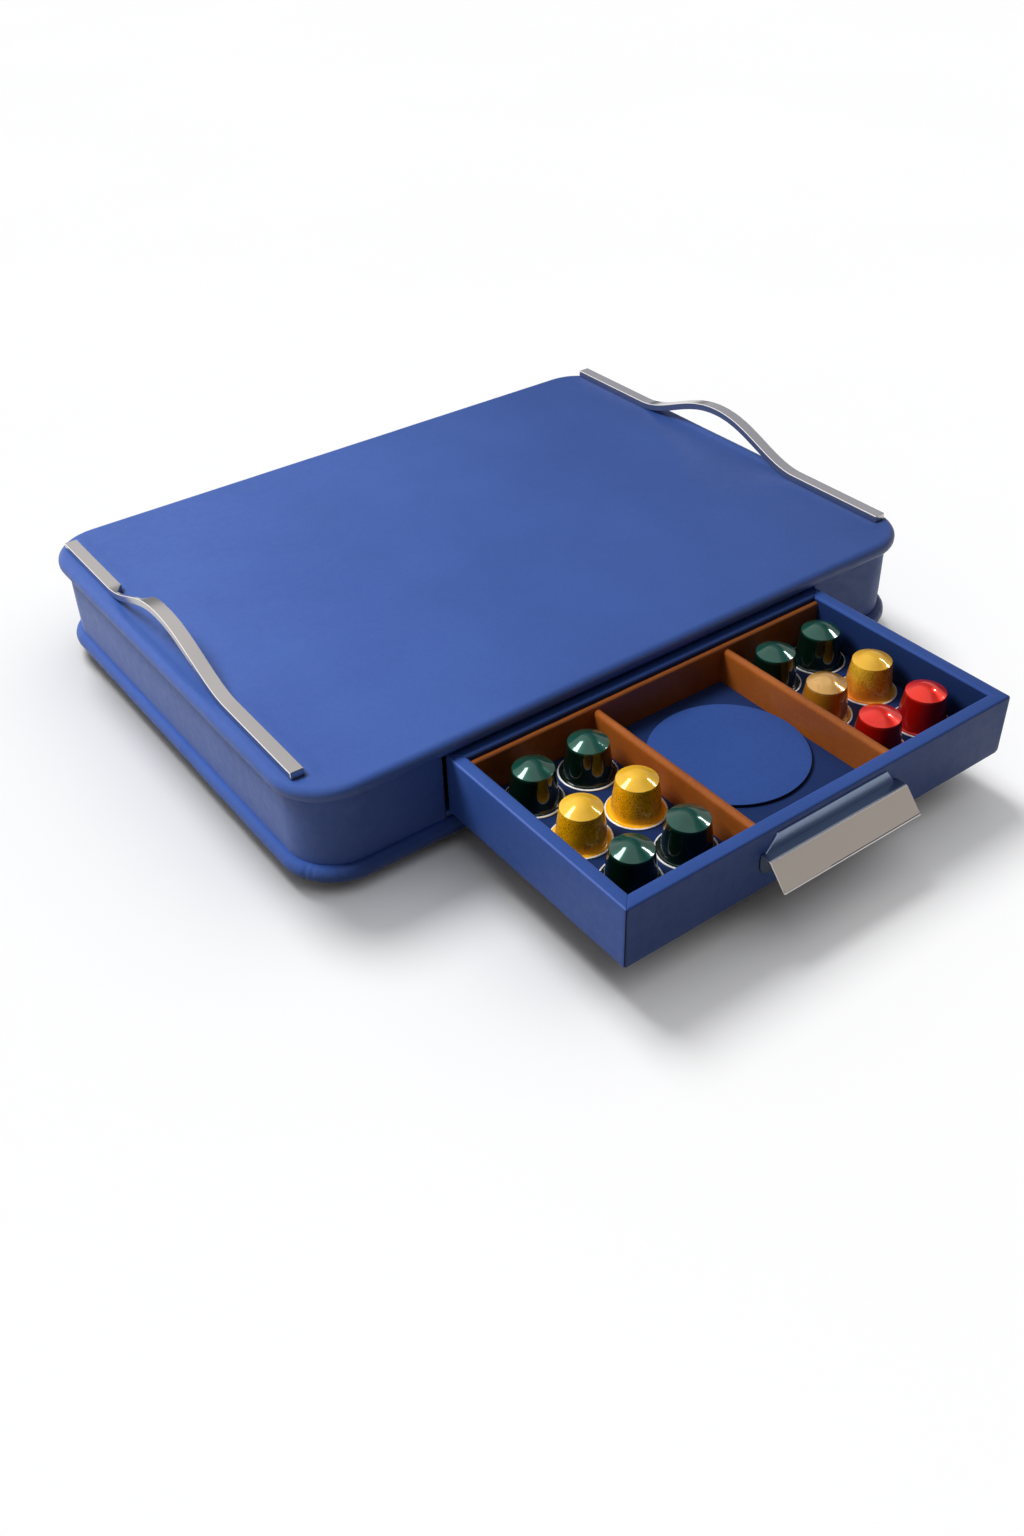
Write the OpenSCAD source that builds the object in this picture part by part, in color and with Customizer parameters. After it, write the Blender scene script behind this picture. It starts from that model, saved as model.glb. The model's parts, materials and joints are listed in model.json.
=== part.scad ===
// Coffee pod drawer: a low leather-covered case with two bar handles on
// its top and a drawer in its long front side.
// Millimetres, +Z up.  The origin is on the table, under the middle of the
// case.  The front is -Y, and the drawer is drawn open as far as it goes.

/* [Case] */
// Width of the case over its side walls
case_w = 480; // [440:1:520]
// Depth of the case over its front and back walls
case_d = 359; // [340:1:400]
// Radius of the case's upright corners
corner_r = 32; // [28:1:40]
// Height of the recessed plinth, with its non-slip sheet
plinth_h = 8; // [6:0.5:12]
// Thickness of the base board
base_t = 11.5; // [10:0.5:14]
// Thickness of the wooden walls
wall_t = 10; // [8:0.5:12]
// Thickness of the leather on walls and top
hide_t = 1.2; // [1:0.1:1.4]

/* [Top] */
// Thickness of the padded top, from wall top to leather surface
top_t = 10.3; // [9.5:0.1:12]
// How far the padded edge stands out past the walls
overhang = 5.5; // [5:0.1:6.5]
// Radius of the top's upper edge
edge_r = 4.5; // [4:0.1:4.8]

/* [Handles] */
// Length of each bar handle
handle_l = 332; // [300:1:335]
// Width of the bar
handle_w = 9; // [8:0.5:9.5]
// Thickness of the bar
handle_t = 5; // [4:0.5:6]
// Height that the bar's middle rises over its ends
hump_h = 22.5; // [18:0.5:28]
// Length of the raised middle
hump_l = 172; // [160:1:190]
// Distance between the outer edges of the two bars, were both parallel
handle_span = 476; // [470:1:476]
// Place of the handles' middle, behind the middle of the case
handle_y = 6; // [0:1:8]

/* [Drawer] */
// Outer width of the drawer
drawer_w = 299; // [290:1:304]
// Outer height of the drawer
drawer_h = 42.4; // [42:0.1:43]
// Outer depth of the drawer
drawer_d = 161.2; // [160:0.1:162]
// How far the drawer pulls out
travel = 162; // [160:1:162]
// Thickness of the drawer's sides and back
side_t = 9; // [8.5:0.1:9.5]
// Thickness of the drawer's front
front_t = 9.5; // [9:0.1:11]
// Height of the drawer's top edge over the table
rim_z = 66.6; // [66:0.1:67]
// Place of the left divider, from the middle
left_divider_x = -48; // [-49:0.1:-47.5]
// Place of the right divider, from the middle
right_divider_x = 58.2; // [57.8:0.1:58.4]
// Thickness of the dividers
divider_t = 6; // [5:0.1:6]

/* [Pull] */
// Length of the steel pull
pull_l = 108; // [90:1:120]
// Thickness of the pull's sheet
pull_t = 1.5; // [1.2:0.1:2]

/* [Pods] */
// Diameter of a pod's rim
pod_rim_d = 37; // [36:0.1:37]
// Height of a pod
pod_h = 28.3; // [27:0.1:28.5]
// Diameter of the loose disc
disc_d = 99; // [80:1:99.5]

/* [Hidden] */

round_fn = 96;

// Levels
base_z = plinth_h;
floor_z = base_z + base_t;          // top of the base board
wall_top = 68;                      // underside of the top
top_z = wall_top + top_t;           // leather surface of the top
skin = 1.3;                         // leather on the top
pad = 1.5;                          // foam on the top

// Drawer, open
front_y = -case_d/2 - travel - 0.1; // outer face of the drawer front
in_y0 = front_y + front_t;          // inner face of the drawer front
back_y = front_y + drawer_d;        // rear face of the drawer back
in_y1 = back_y - side_t;            // front face of the drawer back
in_x = drawer_w/2 - side_t;         // inner face of the drawer sides
rim_bot = rim_z - drawer_h;         // bottom edge of the drawer
board_z0 = 33;                      // underside of the drawer bottom
board_z1 = 36;                      // its top
mat_z = 37.5;                       // top of the mats
strip_t = 4;                        // brown strip along the back
strip_y0 = in_y1 - strip_t;
strip_z = 63.4;
div_z = 60.6;                       // top of the dividers
hide_d = 1;                         // leather on the drawer
groove = 4;                         // groove that holds the bottom

// Opening
open_x = drawer_w/2 + 1;            // leather face of each jamb
jamb_x = open_x + hide_t;           // wood of each jamb
cross_y = -16;                      // front face of the rear crossbar

// Rails
rail_x = 95;
rail_l = 148;
rail_y0 = -167;                     // front end of the fixed rail
rail_z = 24.4;                      // underside of the fixed rail

// Rows and columns of pods
col = [-112.4, -72, 80.4, 121];
row = [-302.4, -259.1, -215];

blue = [0.17, 0.28, 0.60];
deep_blue = [0.10, 0.16, 0.38];
brown = [0.62, 0.33, 0.14];
ply = [0.80, 0.66, 0.46];
steel = [0.72, 0.70, 0.68];
dark = [0.12, 0.12, 0.13];

// ---- Building blocks --------------------------------------------------

// Rounded rectangle, w by d
module plate2(w, d, r) {
    square([w - 2*r, d], center = true);
    square([w, d - 2*r], center = true);
    for (sx = [-1, 1], sy = [-1, 1])
        translate([sx*(w/2 - r), sy*(d/2 - r)]) circle(r = r, $fn = round_fn);
}

// Rounded board between two levels; grow is its offset from the wall face
module board(z0, z1, grow) {
    translate([0, 0, z0]) linear_extrude(z1 - z0)
        plate2(case_w + 2*grow, case_d + 2*grow, corner_r + grow);
}

// Sweeps a section round the case.  The section's x is the distance out
// from the wall face, and its y is the height.
module around() {
    for (m = [0, 1]) {
        mirror([0, m, 0])
            translate([-(case_w/2 - corner_r), case_d/2, 0])
                rotate([90, 0, 90]) linear_extrude(case_w - 2*corner_r)
                    children();
        mirror([m, 0, 0])
            translate([case_w/2, case_d/2 - corner_r, 0])
                rotate([90, 0, 0]) linear_extrude(case_d - 2*corner_r)
                    children();
    }
    for (m = [0, 1], n = [0, 1])
        mirror([m, 0, 0]) mirror([0, n, 0])
            translate([case_w/2 - corner_r, case_d/2 - corner_r, 0])
                rotate_extrude(angle = 90, $fn = round_fn)
                    translate([corner_r, 0]) children();
}

// Box from its low corner to its high corner
module span(a, b) {
    translate(a) cube([b[0] - a[0], b[1] - a[1], b[2] - a[2]]);
}

// Countersunk screw with its head at z = 0, point upwards
module wood_screw(d, l, head_d) {
    union() {
        cylinder(d = d, h = l, $fn = 32);
        cylinder(d = head_d, h = 2.2, $fn = 32);
    }
}

// ---- Plinth and base --------------------------------------------------

plinth_screw_xy = [for (sx = [-1, 1], sy = [-1, 1]) [sx*180, sy*120]];

module non_slip_sheet() {
    color(dark) board(0, 1, -20);
}

module plinth_board() {
    color(ply) difference() {
        board(1, base_z, -18);
        for (p = plinth_screw_xy) translate([p[0], p[1], 0.5]) {
            cylinder(d = 4.1, h = 12, $fn = 32);
            cylinder(d = 9.1, h = 2.8, $fn = 32);
        }
    }
}

module plinth_screws() {
    color(steel) for (p = plinth_screw_xy) translate([p[0], p[1], 1.05])
        wood_screw(4, base_z + 5, 9);
}

module base_board() {
    color(ply) difference() {
        board(base_z, floor_z, 0);
        for (p = plinth_screw_xy) translate([p[0], p[1], base_z - 1])
            cylinder(d = 4.1, h = 9, $fn = 32);
    }
}

// Padded leather roll round the edge of the base board
module base_roll() {
    color(blue) around() intersection() {
        translate([0, base_z + base_t/2]) circle(r = base_t/2, $fn = 48);
        translate([0, base_z - 1]) square([base_t, base_t + 2]);
    }
}

// ---- Walls ------------------------------------------------------------

wo = hide_t;                  // leather outside the wood
wi = hide_t + wall_t;         // inner face of the wood

handle_x = handle_span/2 - handle_w/2;

// The left bar is a little shorter at its back, and its back end stands
// slightly further in.
left_short = 7;
left_in = 1.9;
left_turn = -0.46;

// Places of the four studs
function on_left_bar(v) = [-handle_x + left_in - v*sin(left_turn),
                           handle_y + v*cos(left_turn)];
stud_xy = [on_left_bar(-146), on_left_bar(134),
           [handle_x, handle_y - 146], [handle_x, handle_y + 146]];

module at_studs(z) {
    for (p = stud_xy) translate([p[0], p[1], z]) children();
}

module side_wall(s) {
    y = case_d/2 - corner_r;
    x0 = case_w/2 - wi;
    difference() {
        translate([s > 0 ? x0 : -x0 - wall_t, -y, floor_z])
            cube([wall_t, 2*y, wall_top - floor_z]);
        at_studs(wall_top - 18) cylinder(d = 7.1, h = 20, $fn = 32);
    }
}

module left_wall() { color(ply) side_wall(-1); }
module right_wall() { color(ply) side_wall(1); }

module back_wall() {
    x = case_w/2 - corner_r;
    color(ply) span([-x, case_d/2 - wi, floor_z], [x, case_d/2 - wo, wall_top]);
}

// Short walls on both sides of the opening
module front_walls() {
    x1 = case_w/2 - corner_r;
    color(ply) for (m = [0, 1]) mirror([m, 0, 0])
        span([jamb_x, -case_d/2 + wo, floor_z],
             [x1, -case_d/2 + wi, wall_top]);
}

// Solid quarter-round posts in the four corners
module corner_posts() {
    r = corner_r - wo;
    color(ply) difference() {
        for (m = [0, 1], n = [0, 1])
            mirror([m, 0, 0]) mirror([0, n, 0])
                translate([case_w/2 - corner_r, case_d/2 - corner_r, floor_z])
                    intersection() {
                        cylinder(r = r, h = wall_top - floor_z, $fn = round_fn);
                        cube([r + 1, r + 1, wall_top - floor_z]);
                    }
        at_studs(wall_top - 18) cylinder(d = 7.1, h = 20, $fn = 32);
    }
}

// Leather round the walls, turned in at both jambs of the opening
module wall_leather() {
    color(blue) {
        difference() {
            around() translate([-hide_t, floor_z])
                square([hide_t, wall_top - floor_z]);
            span([-open_x, -case_d/2 - 5, floor_z - 1],
                 [open_x, -case_d/2 + 10, wall_top + 1]);
        }
        for (m = [0, 1]) mirror([m, 0, 0])
            span([open_x, -case_d/2 + hide_t, floor_z],
                 [jamb_x, -case_d/2 + wi, wall_top]);
    }
}

// Panels on both sides of the bay, which also carry the top
module partitions() {
    color(ply) for (m = [0, 1]) mirror([m, 0, 0])
        span([jamb_x, -case_d/2 + wi, floor_z],
             [jamb_x + 9, case_d/2 - wi, wall_top]);
}

module rear_crossbar() {
    color(ply) span([-jamb_x, cross_y, floor_z], [jamb_x, cross_y + 12, wall_top]);
}

// Soft stops that the drawer's back meets when it is shut
module rear_bumpers() {
    color(dark) for (s = [-1, 1]) translate([s*60, cross_y, 50])
        rotate([90, 0, 0]) cylinder(d = 12, h = 2, $fn = 32);
}

// Leather-covered strip across the bottom of the opening
module opening_sill() {
    color(blue) span([-open_x, -case_d/2, floor_z],
                     [open_x, -case_d/2 + 10, floor_z + 4.1]);
}

// ---- Top --------------------------------------------------------------

module stud_holes(d) {
    at_studs(wall_top - 5) cylinder(d = d, h = 40, $fn = 32);
}

module top_board() {
    color(ply) difference() {
        board(wall_top, top_z - skin - pad, 0);
        stud_holes(5.2);
    }
}

// Section of the padded edge: off is the distance under the surface
module edge_section(off, x0) {
    r = edge_r - off;
    x1 = overhang - off;
    z1 = top_z - off;
    z0 = wall_top + off;
    q = 1.8 - off/1.5;
    intersection() {
        union() {
            translate([x0, z0]) square([x1 - q - x0, z1 - z0 - r]);
            translate([x0, z0 + q]) square([x1 - x0, z1 - z0 - r - q]);
            translate([x0, z1 - r - 0.01]) square([x1 - r - x0, r + 0.01]);
            translate([x1 - r, z1 - r]) circle(r = r, $fn = 48);
            translate([x1 - q, z0 + q]) circle(r = q, $fn = 24);
        }
        translate([x0, z0 - 1]) square([x1 - x0 + 1, z1 - z0 + 2]);
    }
}

// Foam on the board and round its edge
module top_padding() {
    color([0.85, 0.83, 0.75]) difference() {
        union() {
            around() edge_section(skin, 0);
            board(top_z - skin - pad, top_z - skin, 0);
        }
        stud_holes(5.2);
    }
}

// Leather over the top, its rounded edge and the overhang's underside
module top_leather() {
    color(blue) difference() {
        union() {
            around() difference() {
                edge_section(0, -12);
                edge_section(skin, 0);
                translate([-13, wall_top - 1])
                    square([13, top_z - skin - wall_top + 1]);
            }
            board(top_z - skin, top_z, -11);
        }
        stud_holes(5.2);
    }
}

// ---- Handles ----------------------------------------------------------

// Height of the bar's underside at y, over its flat ends
function hump(y) = let (u = abs(y)/(hump_l/2))
    u >= 1 ? 0 : hump_h*pow(cos(90*pow(u, 1.05)), 2);

hump_step = 4;

// Bar along Y from y0 to y1, with its flat ends' underside at z = 0
module bar(y0, y1) {
    n = round((y1 - y0)/hump_step);
    low = [for (i = [0:n]) let (y = y0 + i*(y1 - y0)/n) [y, hump(y)]];
    high = [for (i = [n:-1:0]) let (y = y0 + i*(y1 - y0)/n,
        k = (hump(y + 1) - hump(y - 1))/2, l = sqrt(1 + k*k))
        [y - (i == 0 || i == n ? 0 : handle_t*k/l), hump(y) + handle_t/l]];
    translate([-handle_w/2, 0, 0]) rotate([90, 0, 90])
        linear_extrude(handle_w) polygon(concat(low, high));
}

module stud() { cylinder(d = 5, h = top_z - wall_top + 17, $fn = 32); }

// The left bar is cut away along its inner side at the rear of its raised
// middle, so that a narrow strip of it runs on there.
cut_y = [24, 82];

module left_handle() {
    color(steel) union() {
        translate([-handle_x + left_in, handle_y, top_z])
            rotate([0, 0, left_turn]) difference() {
                bar(-handle_l/2, handle_l/2 - left_short);
                translate([0, 0, -1]) linear_extrude(hump_h + 12) polygon([
                    [handle_w/2 + 1, cut_y[0] - 5], [handle_w/2 + 1, cut_y[1]],
                    [handle_w/2, cut_y[1] - 1], [2.4 - handle_w/2, cut_y[1] - 12],
                    [2.4 - handle_w/2, cut_y[0]]]);
            }
        for (i = [0, 1]) translate([stud_xy[i][0], stud_xy[i][1], wall_top - 16])
            stud();
    }
}

module right_handle() {
    color(steel) union() {
        translate([handle_x, handle_y, top_z]) bar(-handle_l/2, handle_l/2);
        for (i = [2, 3]) translate([stud_xy[i][0], stud_xy[i][1], wall_top - 16])
            stud();
    }
}

// Threaded brass inserts in the walls, which take the handles' studs
module handle_inserts() {
    color([0.78, 0.62, 0.30]) at_studs(wall_top - 17) difference() {
        cylinder(d = 7, h = 16.5, $fn = 32);
        translate([0, 0, -1]) cylinder(d = 5.1, h = 20, $fn = 32);
    }
}

// ---- Telescopic rails -------------------------------------------------

// Sections are drawn with x across and y up from the fixed rail's underside
module outer_section() {
    translate([-15, 0]) square([30, 1]);
    for (m = [0, 1]) mirror([m, 0]) {
        translate([14, 0]) square([1, 7.2]);
        translate([13, 6.4]) square([2, 0.8]);
    }
}

module middle_section() {
    translate([-12.2, 1.6]) square([24.4, 1]);
    for (m = [0, 1]) mirror([m, 0]) {
        translate([11.2, 1.6]) square([1, 5.6]);
        translate([11.2, 3.6]) square([2.3, 2.2]);
        translate([10.2, 6.4]) square([2, 0.8]);
    }
}

module inner_section() {
    translate([-9.2, 7.6]) square([18.4, 1]);
    for (m = [0, 1]) mirror([m, 0]) {
        translate([8.2, 3.2]) square([1, 5.4]);
        translate([8.2, 3.6]) square([2.5, 2.2]);
    }
}

// Extrudes a section along Y from y0
module rail(s, y0) {
    translate([s*rail_x, y0 + rail_l, rail_z])
        rotate([90, 0, 0]) linear_extrude(rail_l) children();
}

rail_screw_y = [rail_y0 + 25, rail_y0 + 120];

module rail_packers() {
    color(ply) difference() {
        for (s = [-1, 1])
            span([s*rail_x - 15, rail_y0, floor_z],
                 [s*rail_x + 15, rail_y0 + rail_l, rail_z]);
        for (s = [-1, 1], v = rail_screw_y) translate([s*rail_x, v, floor_z + 1])
            cylinder(d = 3.1, h = 8, $fn = 32);
    }
}

module outer_rail(s) {
    color(steel) difference() {
        rail(s, rail_y0) outer_section();
        for (v = rail_screw_y) translate([s*rail_x, v, rail_z - 1])
            cylinder(d = 3.3, h = 4, $fn = 32);
    }
}
module left_outer_rail() { outer_rail(-1); }
module right_outer_rail() { outer_rail(1); }

module outer_rail_screws() {
    color(steel) for (s = [-1, 1], v = rail_screw_y)
        translate([s*rail_x, v, floor_z + 1.2]) union() {
            cylinder(d = 3, h = rail_z - floor_z - 0.2, $fn = 32);
            translate([0, 0, rail_z - floor_z - 0.15])
                cylinder(d = 5, h = 0.45, $fn = 32);
        }
}

module middle_rail(s) {
    color(steel) rail(s, rail_y0 - travel/2) middle_section();
}
module left_middle_rail() { middle_rail(-1); }
module right_middle_rail() { middle_rail(1); }

rivet_y = [rail_y0 - travel + 25, rail_y0 - travel + 120];

module inner_rail(s) {
    color(steel) difference() {
        rail(s, rail_y0 - travel) inner_section();
        for (v = rivet_y) translate([s*rail_x, v, rail_z + 6])
            cylinder(d = 3.3, h = 4, $fn = 32);
    }
}
module left_inner_rail() { inner_rail(-1); }
module right_inner_rail() { inner_rail(1); }

module inner_rail_rivets() {
    color(steel) for (s = [-1, 1], v = rivet_y)
        translate([s*rail_x, v, rail_z + 6.3]) union() {
            cylinder(d = 6, h = 1.25, $fn = 32);
            cylinder(d = 3.1, h = board_z1 - rail_z - 6.6, $fn = 32);
        }
}

// ---- Drawer -----------------------------------------------------------

pull_x = -1.3;                      // middle of the pull
bore_x = [pull_x - 32, pull_x + 32]; // its two screws
bore_z = 56;
plate_t = 0.9;                      // its plate on the drawer front

module drawer_front() {
    color(ply) difference() {
        span([-drawer_w/2 + hide_d, front_y + hide_d, rim_bot],
             [drawer_w/2 - hide_d, in_y0 - hide_d, rim_z - hide_d]);
        span([-in_x - groove, in_y0 - hide_d - groove, board_z0],
             [in_x + groove, in_y0, board_z1]);
        for (x = bore_x) translate([x, in_y0 - hide_d, bore_z]) rotate([90, 0, 0]) {
            translate([0, 0, -1]) cylinder(d = 9.2, h = 3.1, $fn = 32);
            cylinder(d = 7.2, h = 14, $fn = 32);
        }
    }
}

// Leather over the front's outer face, top edge, ends and inner face
module front_leather() {
    color(blue) difference() {
        span([-drawer_w/2, front_y, rim_bot], [drawer_w/2, in_y0, rim_z]);
        span([-drawer_w/2 + hide_d, front_y + hide_d, rim_bot - 1],
             [drawer_w/2 - hide_d, in_y0 - hide_d, rim_z - hide_d]);
        span([-in_x - groove, in_y0 - 2, rim_bot - 1],
             [in_x + groove, in_y0 + 1, board_z1]);
        for (x = bore_x) translate([x, front_y + 2, bore_z]) rotate([90, 0, 0])
            cylinder(d = 7.2, h = 3, $fn = 32);
    }
}

module side_core(s) {
    mirror([s > 0 ? 0 : 1, 0, 0]) difference() {
        span([in_x + hide_d, in_y0, rim_bot],
             [drawer_w/2 - hide_d, back_y - hide_d, rim_z - hide_d]);
        span([in_x, in_y0 - 1, board_z0], [in_x + groove, back_y, board_z1]);
    }
}
module drawer_left_side() { color(ply) side_core(-1); }
module drawer_right_side() { color(ply) side_core(1); }

module side_hide(s) {
    mirror([s > 0 ? 0 : 1, 0, 0]) difference() {
        span([in_x, in_y0, rim_bot], [drawer_w/2, back_y, rim_z]);
        span([in_x + hide_d, in_y0 - 1, rim_bot - 1],
             [drawer_w/2 - hide_d, back_y - hide_d, rim_z - hide_d]);
        span([in_x - 1, in_y0 - 1, rim_bot - 1],
             [in_x + groove, back_y + 1, board_z1]);
    }
}
module left_side_leather() { color(blue) side_hide(-1); }
module right_side_leather() { color(blue) side_hide(1); }

module drawer_bottom() {
    color(ply) difference() {
        span([-in_x - groove + 0.1, in_y0 - hide_d - groove + 0.1, board_z0],
             [in_x + groove - 0.1, back_y, board_z1]);
        for (s = [-1, 1], v = rivet_y) translate([s*rail_x, v, board_z0 - 1])
            cylinder(d = 3.2, h = 8, $fn = 32);
    }
}

module drawer_back() {
    color(ply) span([-in_x, in_y1 + hide_d, board_z1],
                    [in_x, back_y - hide_d, rim_z - hide_d]);
}

module back_leather() {
    color(blue) difference() {
        span([-in_x, in_y1, board_z1], [in_x, back_y, rim_z]);
        span([-in_x - 1, in_y1 + hide_d, board_z1 - 1],
             [in_x + 1, back_y - hide_d, rim_z - hide_d]);
    }
}

module mat(x0, x1) {
    color(blue) span([x0, in_y0, board_z1], [x1, strip_y0, mat_z]);
}
module left_mat() { mat(-in_x, left_divider_x - divider_t/2); }
module middle_mat() { mat(left_divider_x + divider_t/2, right_divider_x - divider_t/2); }
module right_mat() { mat(right_divider_x + divider_t/2, in_x); }

// Brown leather board along the back, with a rounded top edge
module back_strip() {
    color(brown) translate([-in_x, strip_y0, 0]) rotate([90, 0, 90])
        linear_extrude(2*in_x) {
            translate([0, board_z1]) square([strip_t, strip_z - board_z1 - strip_t/2]);
            translate([strip_t/2, strip_z - strip_t/2])
                circle(d = strip_t, $fn = 32);
        }
}

// Brown leather divider from the front to the strip
module divider(x) {
    color(brown) translate([x, strip_y0, 0]) rotate([90, 0, 0])
        linear_extrude(strip_y0 - in_y0) {
            translate([-divider_t/2, board_z1])
                square([divider_t, div_z - board_z1 - divider_t/2]);
            translate([0, div_z - divider_t/2])
                circle(d = divider_t, $fn = 32);
        }
}
module left_divider() { divider(left_divider_x); }
module right_divider() { divider(right_divider_x); }

// Outline of the pull's plate: slanted at the top, rounded at the bottom
module plate_outline() {
    w = pull_l/2;
    polygon([[-w, 44], [-w, 50], [-w + 3.5, 51.6], [-w + 11, 62.3],
             [w - 11, 62.3], [w - 3.5, 51.6], [w, 50], [w, 44]]);
    translate([-w, 43.9]) square([2*w, 0.2]);
    translate([-w + 8, 36]) square([2*w - 16, 8.1]);
    for (s = [-1, 1]) translate([s*(w - 8), 44]) circle(r = 8, $fn = 48);
}

// Bent steel pull: a plate on the drawer front, a narrow ledge and a lip
// that slopes down and out, with two threaded bosses behind the plate
module drawer_pull() {
    t = pull_t;
    color(steel) translate([pull_x, front_y, 0]) union() {
        rotate([90, 0, 0]) linear_extrude(plate_t) plate_outline();
        translate([-pull_l/2, 0, 0]) rotate([90, 0, 90])
            linear_extrude(pull_l) polygon([
                [-plate_t/2, 51.6], [-7.4, 51.6], [-20.4, 37.4],
                [-20.4 + 0.74*t, 37.4 - 0.68*t],
                [-7.4 + 0.45*t, 51.6 - t], [-plate_t/2, 51.6 - t]]);
        for (x = [-32, 32]) translate([x, -0.5, bore_z])
            rotate([-90, 0, 0]) difference() {
                cylinder(d = 7, h = 5.5, $fn = 32);
                translate([0, 0, 1]) cylinder(d = 3.1, h = 6, $fn = 32);
            }
    }
}

module pull_screws() {
    color(steel) for (x = bore_x) translate([x, in_y0 - hide_d, bore_z])
        rotate([90, 0, 0]) union() {
            translate([0, 0, 0.1]) cylinder(d = 9, h = 1.9, $fn = 32);
            translate([0, 0, 1]) cylinder(d = 3, h = 6.5, $fn = 32);
        }
}

// ---- Loose pieces -----------------------------------------------------

disc_x = 5.1;
disc_y = -254;

module disc() {
    color(deep_blue) translate([disc_x, disc_y, mat_z + 0.05])
        cylinder(d = disc_d, h = 2, $fn = 128);
}

// Sealed pod standing on its rim: a thin wall round a closed space
module pod(x, y) {
    r = pod_rim_d/2;
    h = pod_h;
    translate([x, y, mat_z + 0.05]) rotate_extrude($fn = 64) difference() {
        polygon([[0, 0], [r, 0], [r, 0.6], [15.7, 1.2], [15, 2.2],
                 [12.4, h - 5.6], [12.1, h - 5], [4.4, h - 1], [3, h - 0.3],
                 [0, h]]);
        polygon([[0, 0.6], [14.3, 0.6], [14.1, 2.2], [11.5, h - 6],
                 [4, h - 2], [0, h - 1]]);
    }
}

green = [0.06, 0.30, 0.25];
yellow = [0.90, 0.68, 0.10];
amber = [0.85, 0.60, 0.25];
red = [0.75, 0.08, 0.06];

module pod_left_1() { color(green) pod(col[0], row[2]); }
module pod_left_2() { color(green) pod(col[1], row[2]); }
module pod_left_3() { color(yellow) pod(col[1], row[1]); }
module pod_left_4() { color(yellow) pod(col[0], row[1]); }
module pod_left_5() { color(green) pod(col[1], row[0]); }
module pod_left_6() { color(green) pod(col[0], row[0]); }
module pod_right_1() { color(green) pod(col[3], row[2]); }
module pod_right_2() { color(green) pod(col[2], row[2]); }
module pod_right_3() { color(yellow) pod(col[3], row[1]); }
module pod_right_4() { color(amber) pod(col[2], row[1]); }
module pod_right_5() { color(red) pod(col[3], row[0]); }
module pod_right_6() { color(red) pod(col[2], row[0]); }

// ---- Output -----------------------------------------------------------

non_slip_sheet();
plinth_board();
plinth_screws();
base_board();
base_roll();
left_wall();
right_wall();
back_wall();
front_walls();
corner_posts();
wall_leather();
partitions();
rear_crossbar();
rear_bumpers();
opening_sill();
top_board();
top_padding();
top_leather();
left_handle();
right_handle();
handle_inserts();
rail_packers();
left_outer_rail();
right_outer_rail();
outer_rail_screws();
left_middle_rail();
right_middle_rail();
left_inner_rail();
right_inner_rail();
inner_rail_rivets();
drawer_front();
drawer_left_side();
drawer_right_side();
drawer_back();
drawer_bottom();
front_leather();
left_side_leather();
right_side_leather();
back_leather();
left_mat();
middle_mat();
right_mat();
back_strip();
left_divider();
right_divider();
drawer_pull();
pull_screws();
disc();
pod_left_1();
pod_left_2();
pod_left_3();
pod_left_4();
pod_left_5();
pod_left_6();
pod_right_1();
pod_right_2();
pod_right_3();
pod_right_4();
pod_right_5();
pod_right_6();
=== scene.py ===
import json
import math

import bmesh
import bpy
from mathutils import Matrix, Vector, noise


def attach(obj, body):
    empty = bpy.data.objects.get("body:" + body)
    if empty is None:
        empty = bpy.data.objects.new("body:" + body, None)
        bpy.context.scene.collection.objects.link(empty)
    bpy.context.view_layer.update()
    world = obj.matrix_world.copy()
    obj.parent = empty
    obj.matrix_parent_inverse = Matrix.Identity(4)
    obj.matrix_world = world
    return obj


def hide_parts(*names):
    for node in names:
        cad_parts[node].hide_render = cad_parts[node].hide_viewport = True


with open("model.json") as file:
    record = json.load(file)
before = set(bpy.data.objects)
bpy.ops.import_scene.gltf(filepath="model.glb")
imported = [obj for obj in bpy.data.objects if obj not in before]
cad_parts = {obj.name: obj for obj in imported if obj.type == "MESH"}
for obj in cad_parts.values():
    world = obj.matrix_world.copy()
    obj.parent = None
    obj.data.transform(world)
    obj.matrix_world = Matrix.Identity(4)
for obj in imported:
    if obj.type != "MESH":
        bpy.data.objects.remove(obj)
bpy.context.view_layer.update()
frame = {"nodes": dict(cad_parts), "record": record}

# Everything below is worked out in millimetres in the row frame and scaled
# to metres when a mesh is made.
MM = 0.001
HW, HD, R = 240.0, 179.5, 32.0        # half width, half depth, corner radius
BASE_Z, FLOOR_Z = 8.0, 19.5
WALL_TOP, TOP_Z = 68.0, 78.3
FRONT_Y, IN_Y0 = -341.6, -332.1       # drawer front: outer and inner face
BACK_Y, IN_Y1 = -180.4, -189.4        # drawer back: rear and front face
OUT_X, IN_X = 149.5, 140.5            # drawer sides: outer and inner face
RIM_BOT, RIM_Z = 24.2, 66.6
BOARD_Z1, MAT_Z = 36.0, 37.5
STRIP_Y0 = -193.4
PI = math.pi


# ---------------------------------------------------------------- helpers

def lerp(a, b, t):
    return a + (b - a) * t


def smooth(t):
    t = max(0.0, min(1.0, t))
    return t * t * (3 - 2 * t)


def bell(x, w):
    return math.exp(-(x / w) ** 2)


def wob(x, y, z, size, seed=0.0):
    """Smooth repeatable noise from about -1 to 1, size in millimetres."""
    return noise.noise(Vector((x / size + seed, y / size - seed, z / size + 2 * seed)))


def arc(cx, cy, rx, ry, a0, a1, n):
    """Points on an ellipse from angle a0 to a1, both ends included."""
    return [(cx + rx * math.cos(lerp(a0, a1, i / n)), cy + ry * math.sin(lerp(a0, a1, i / n)))
            for i in range(n + 1)]


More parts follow.
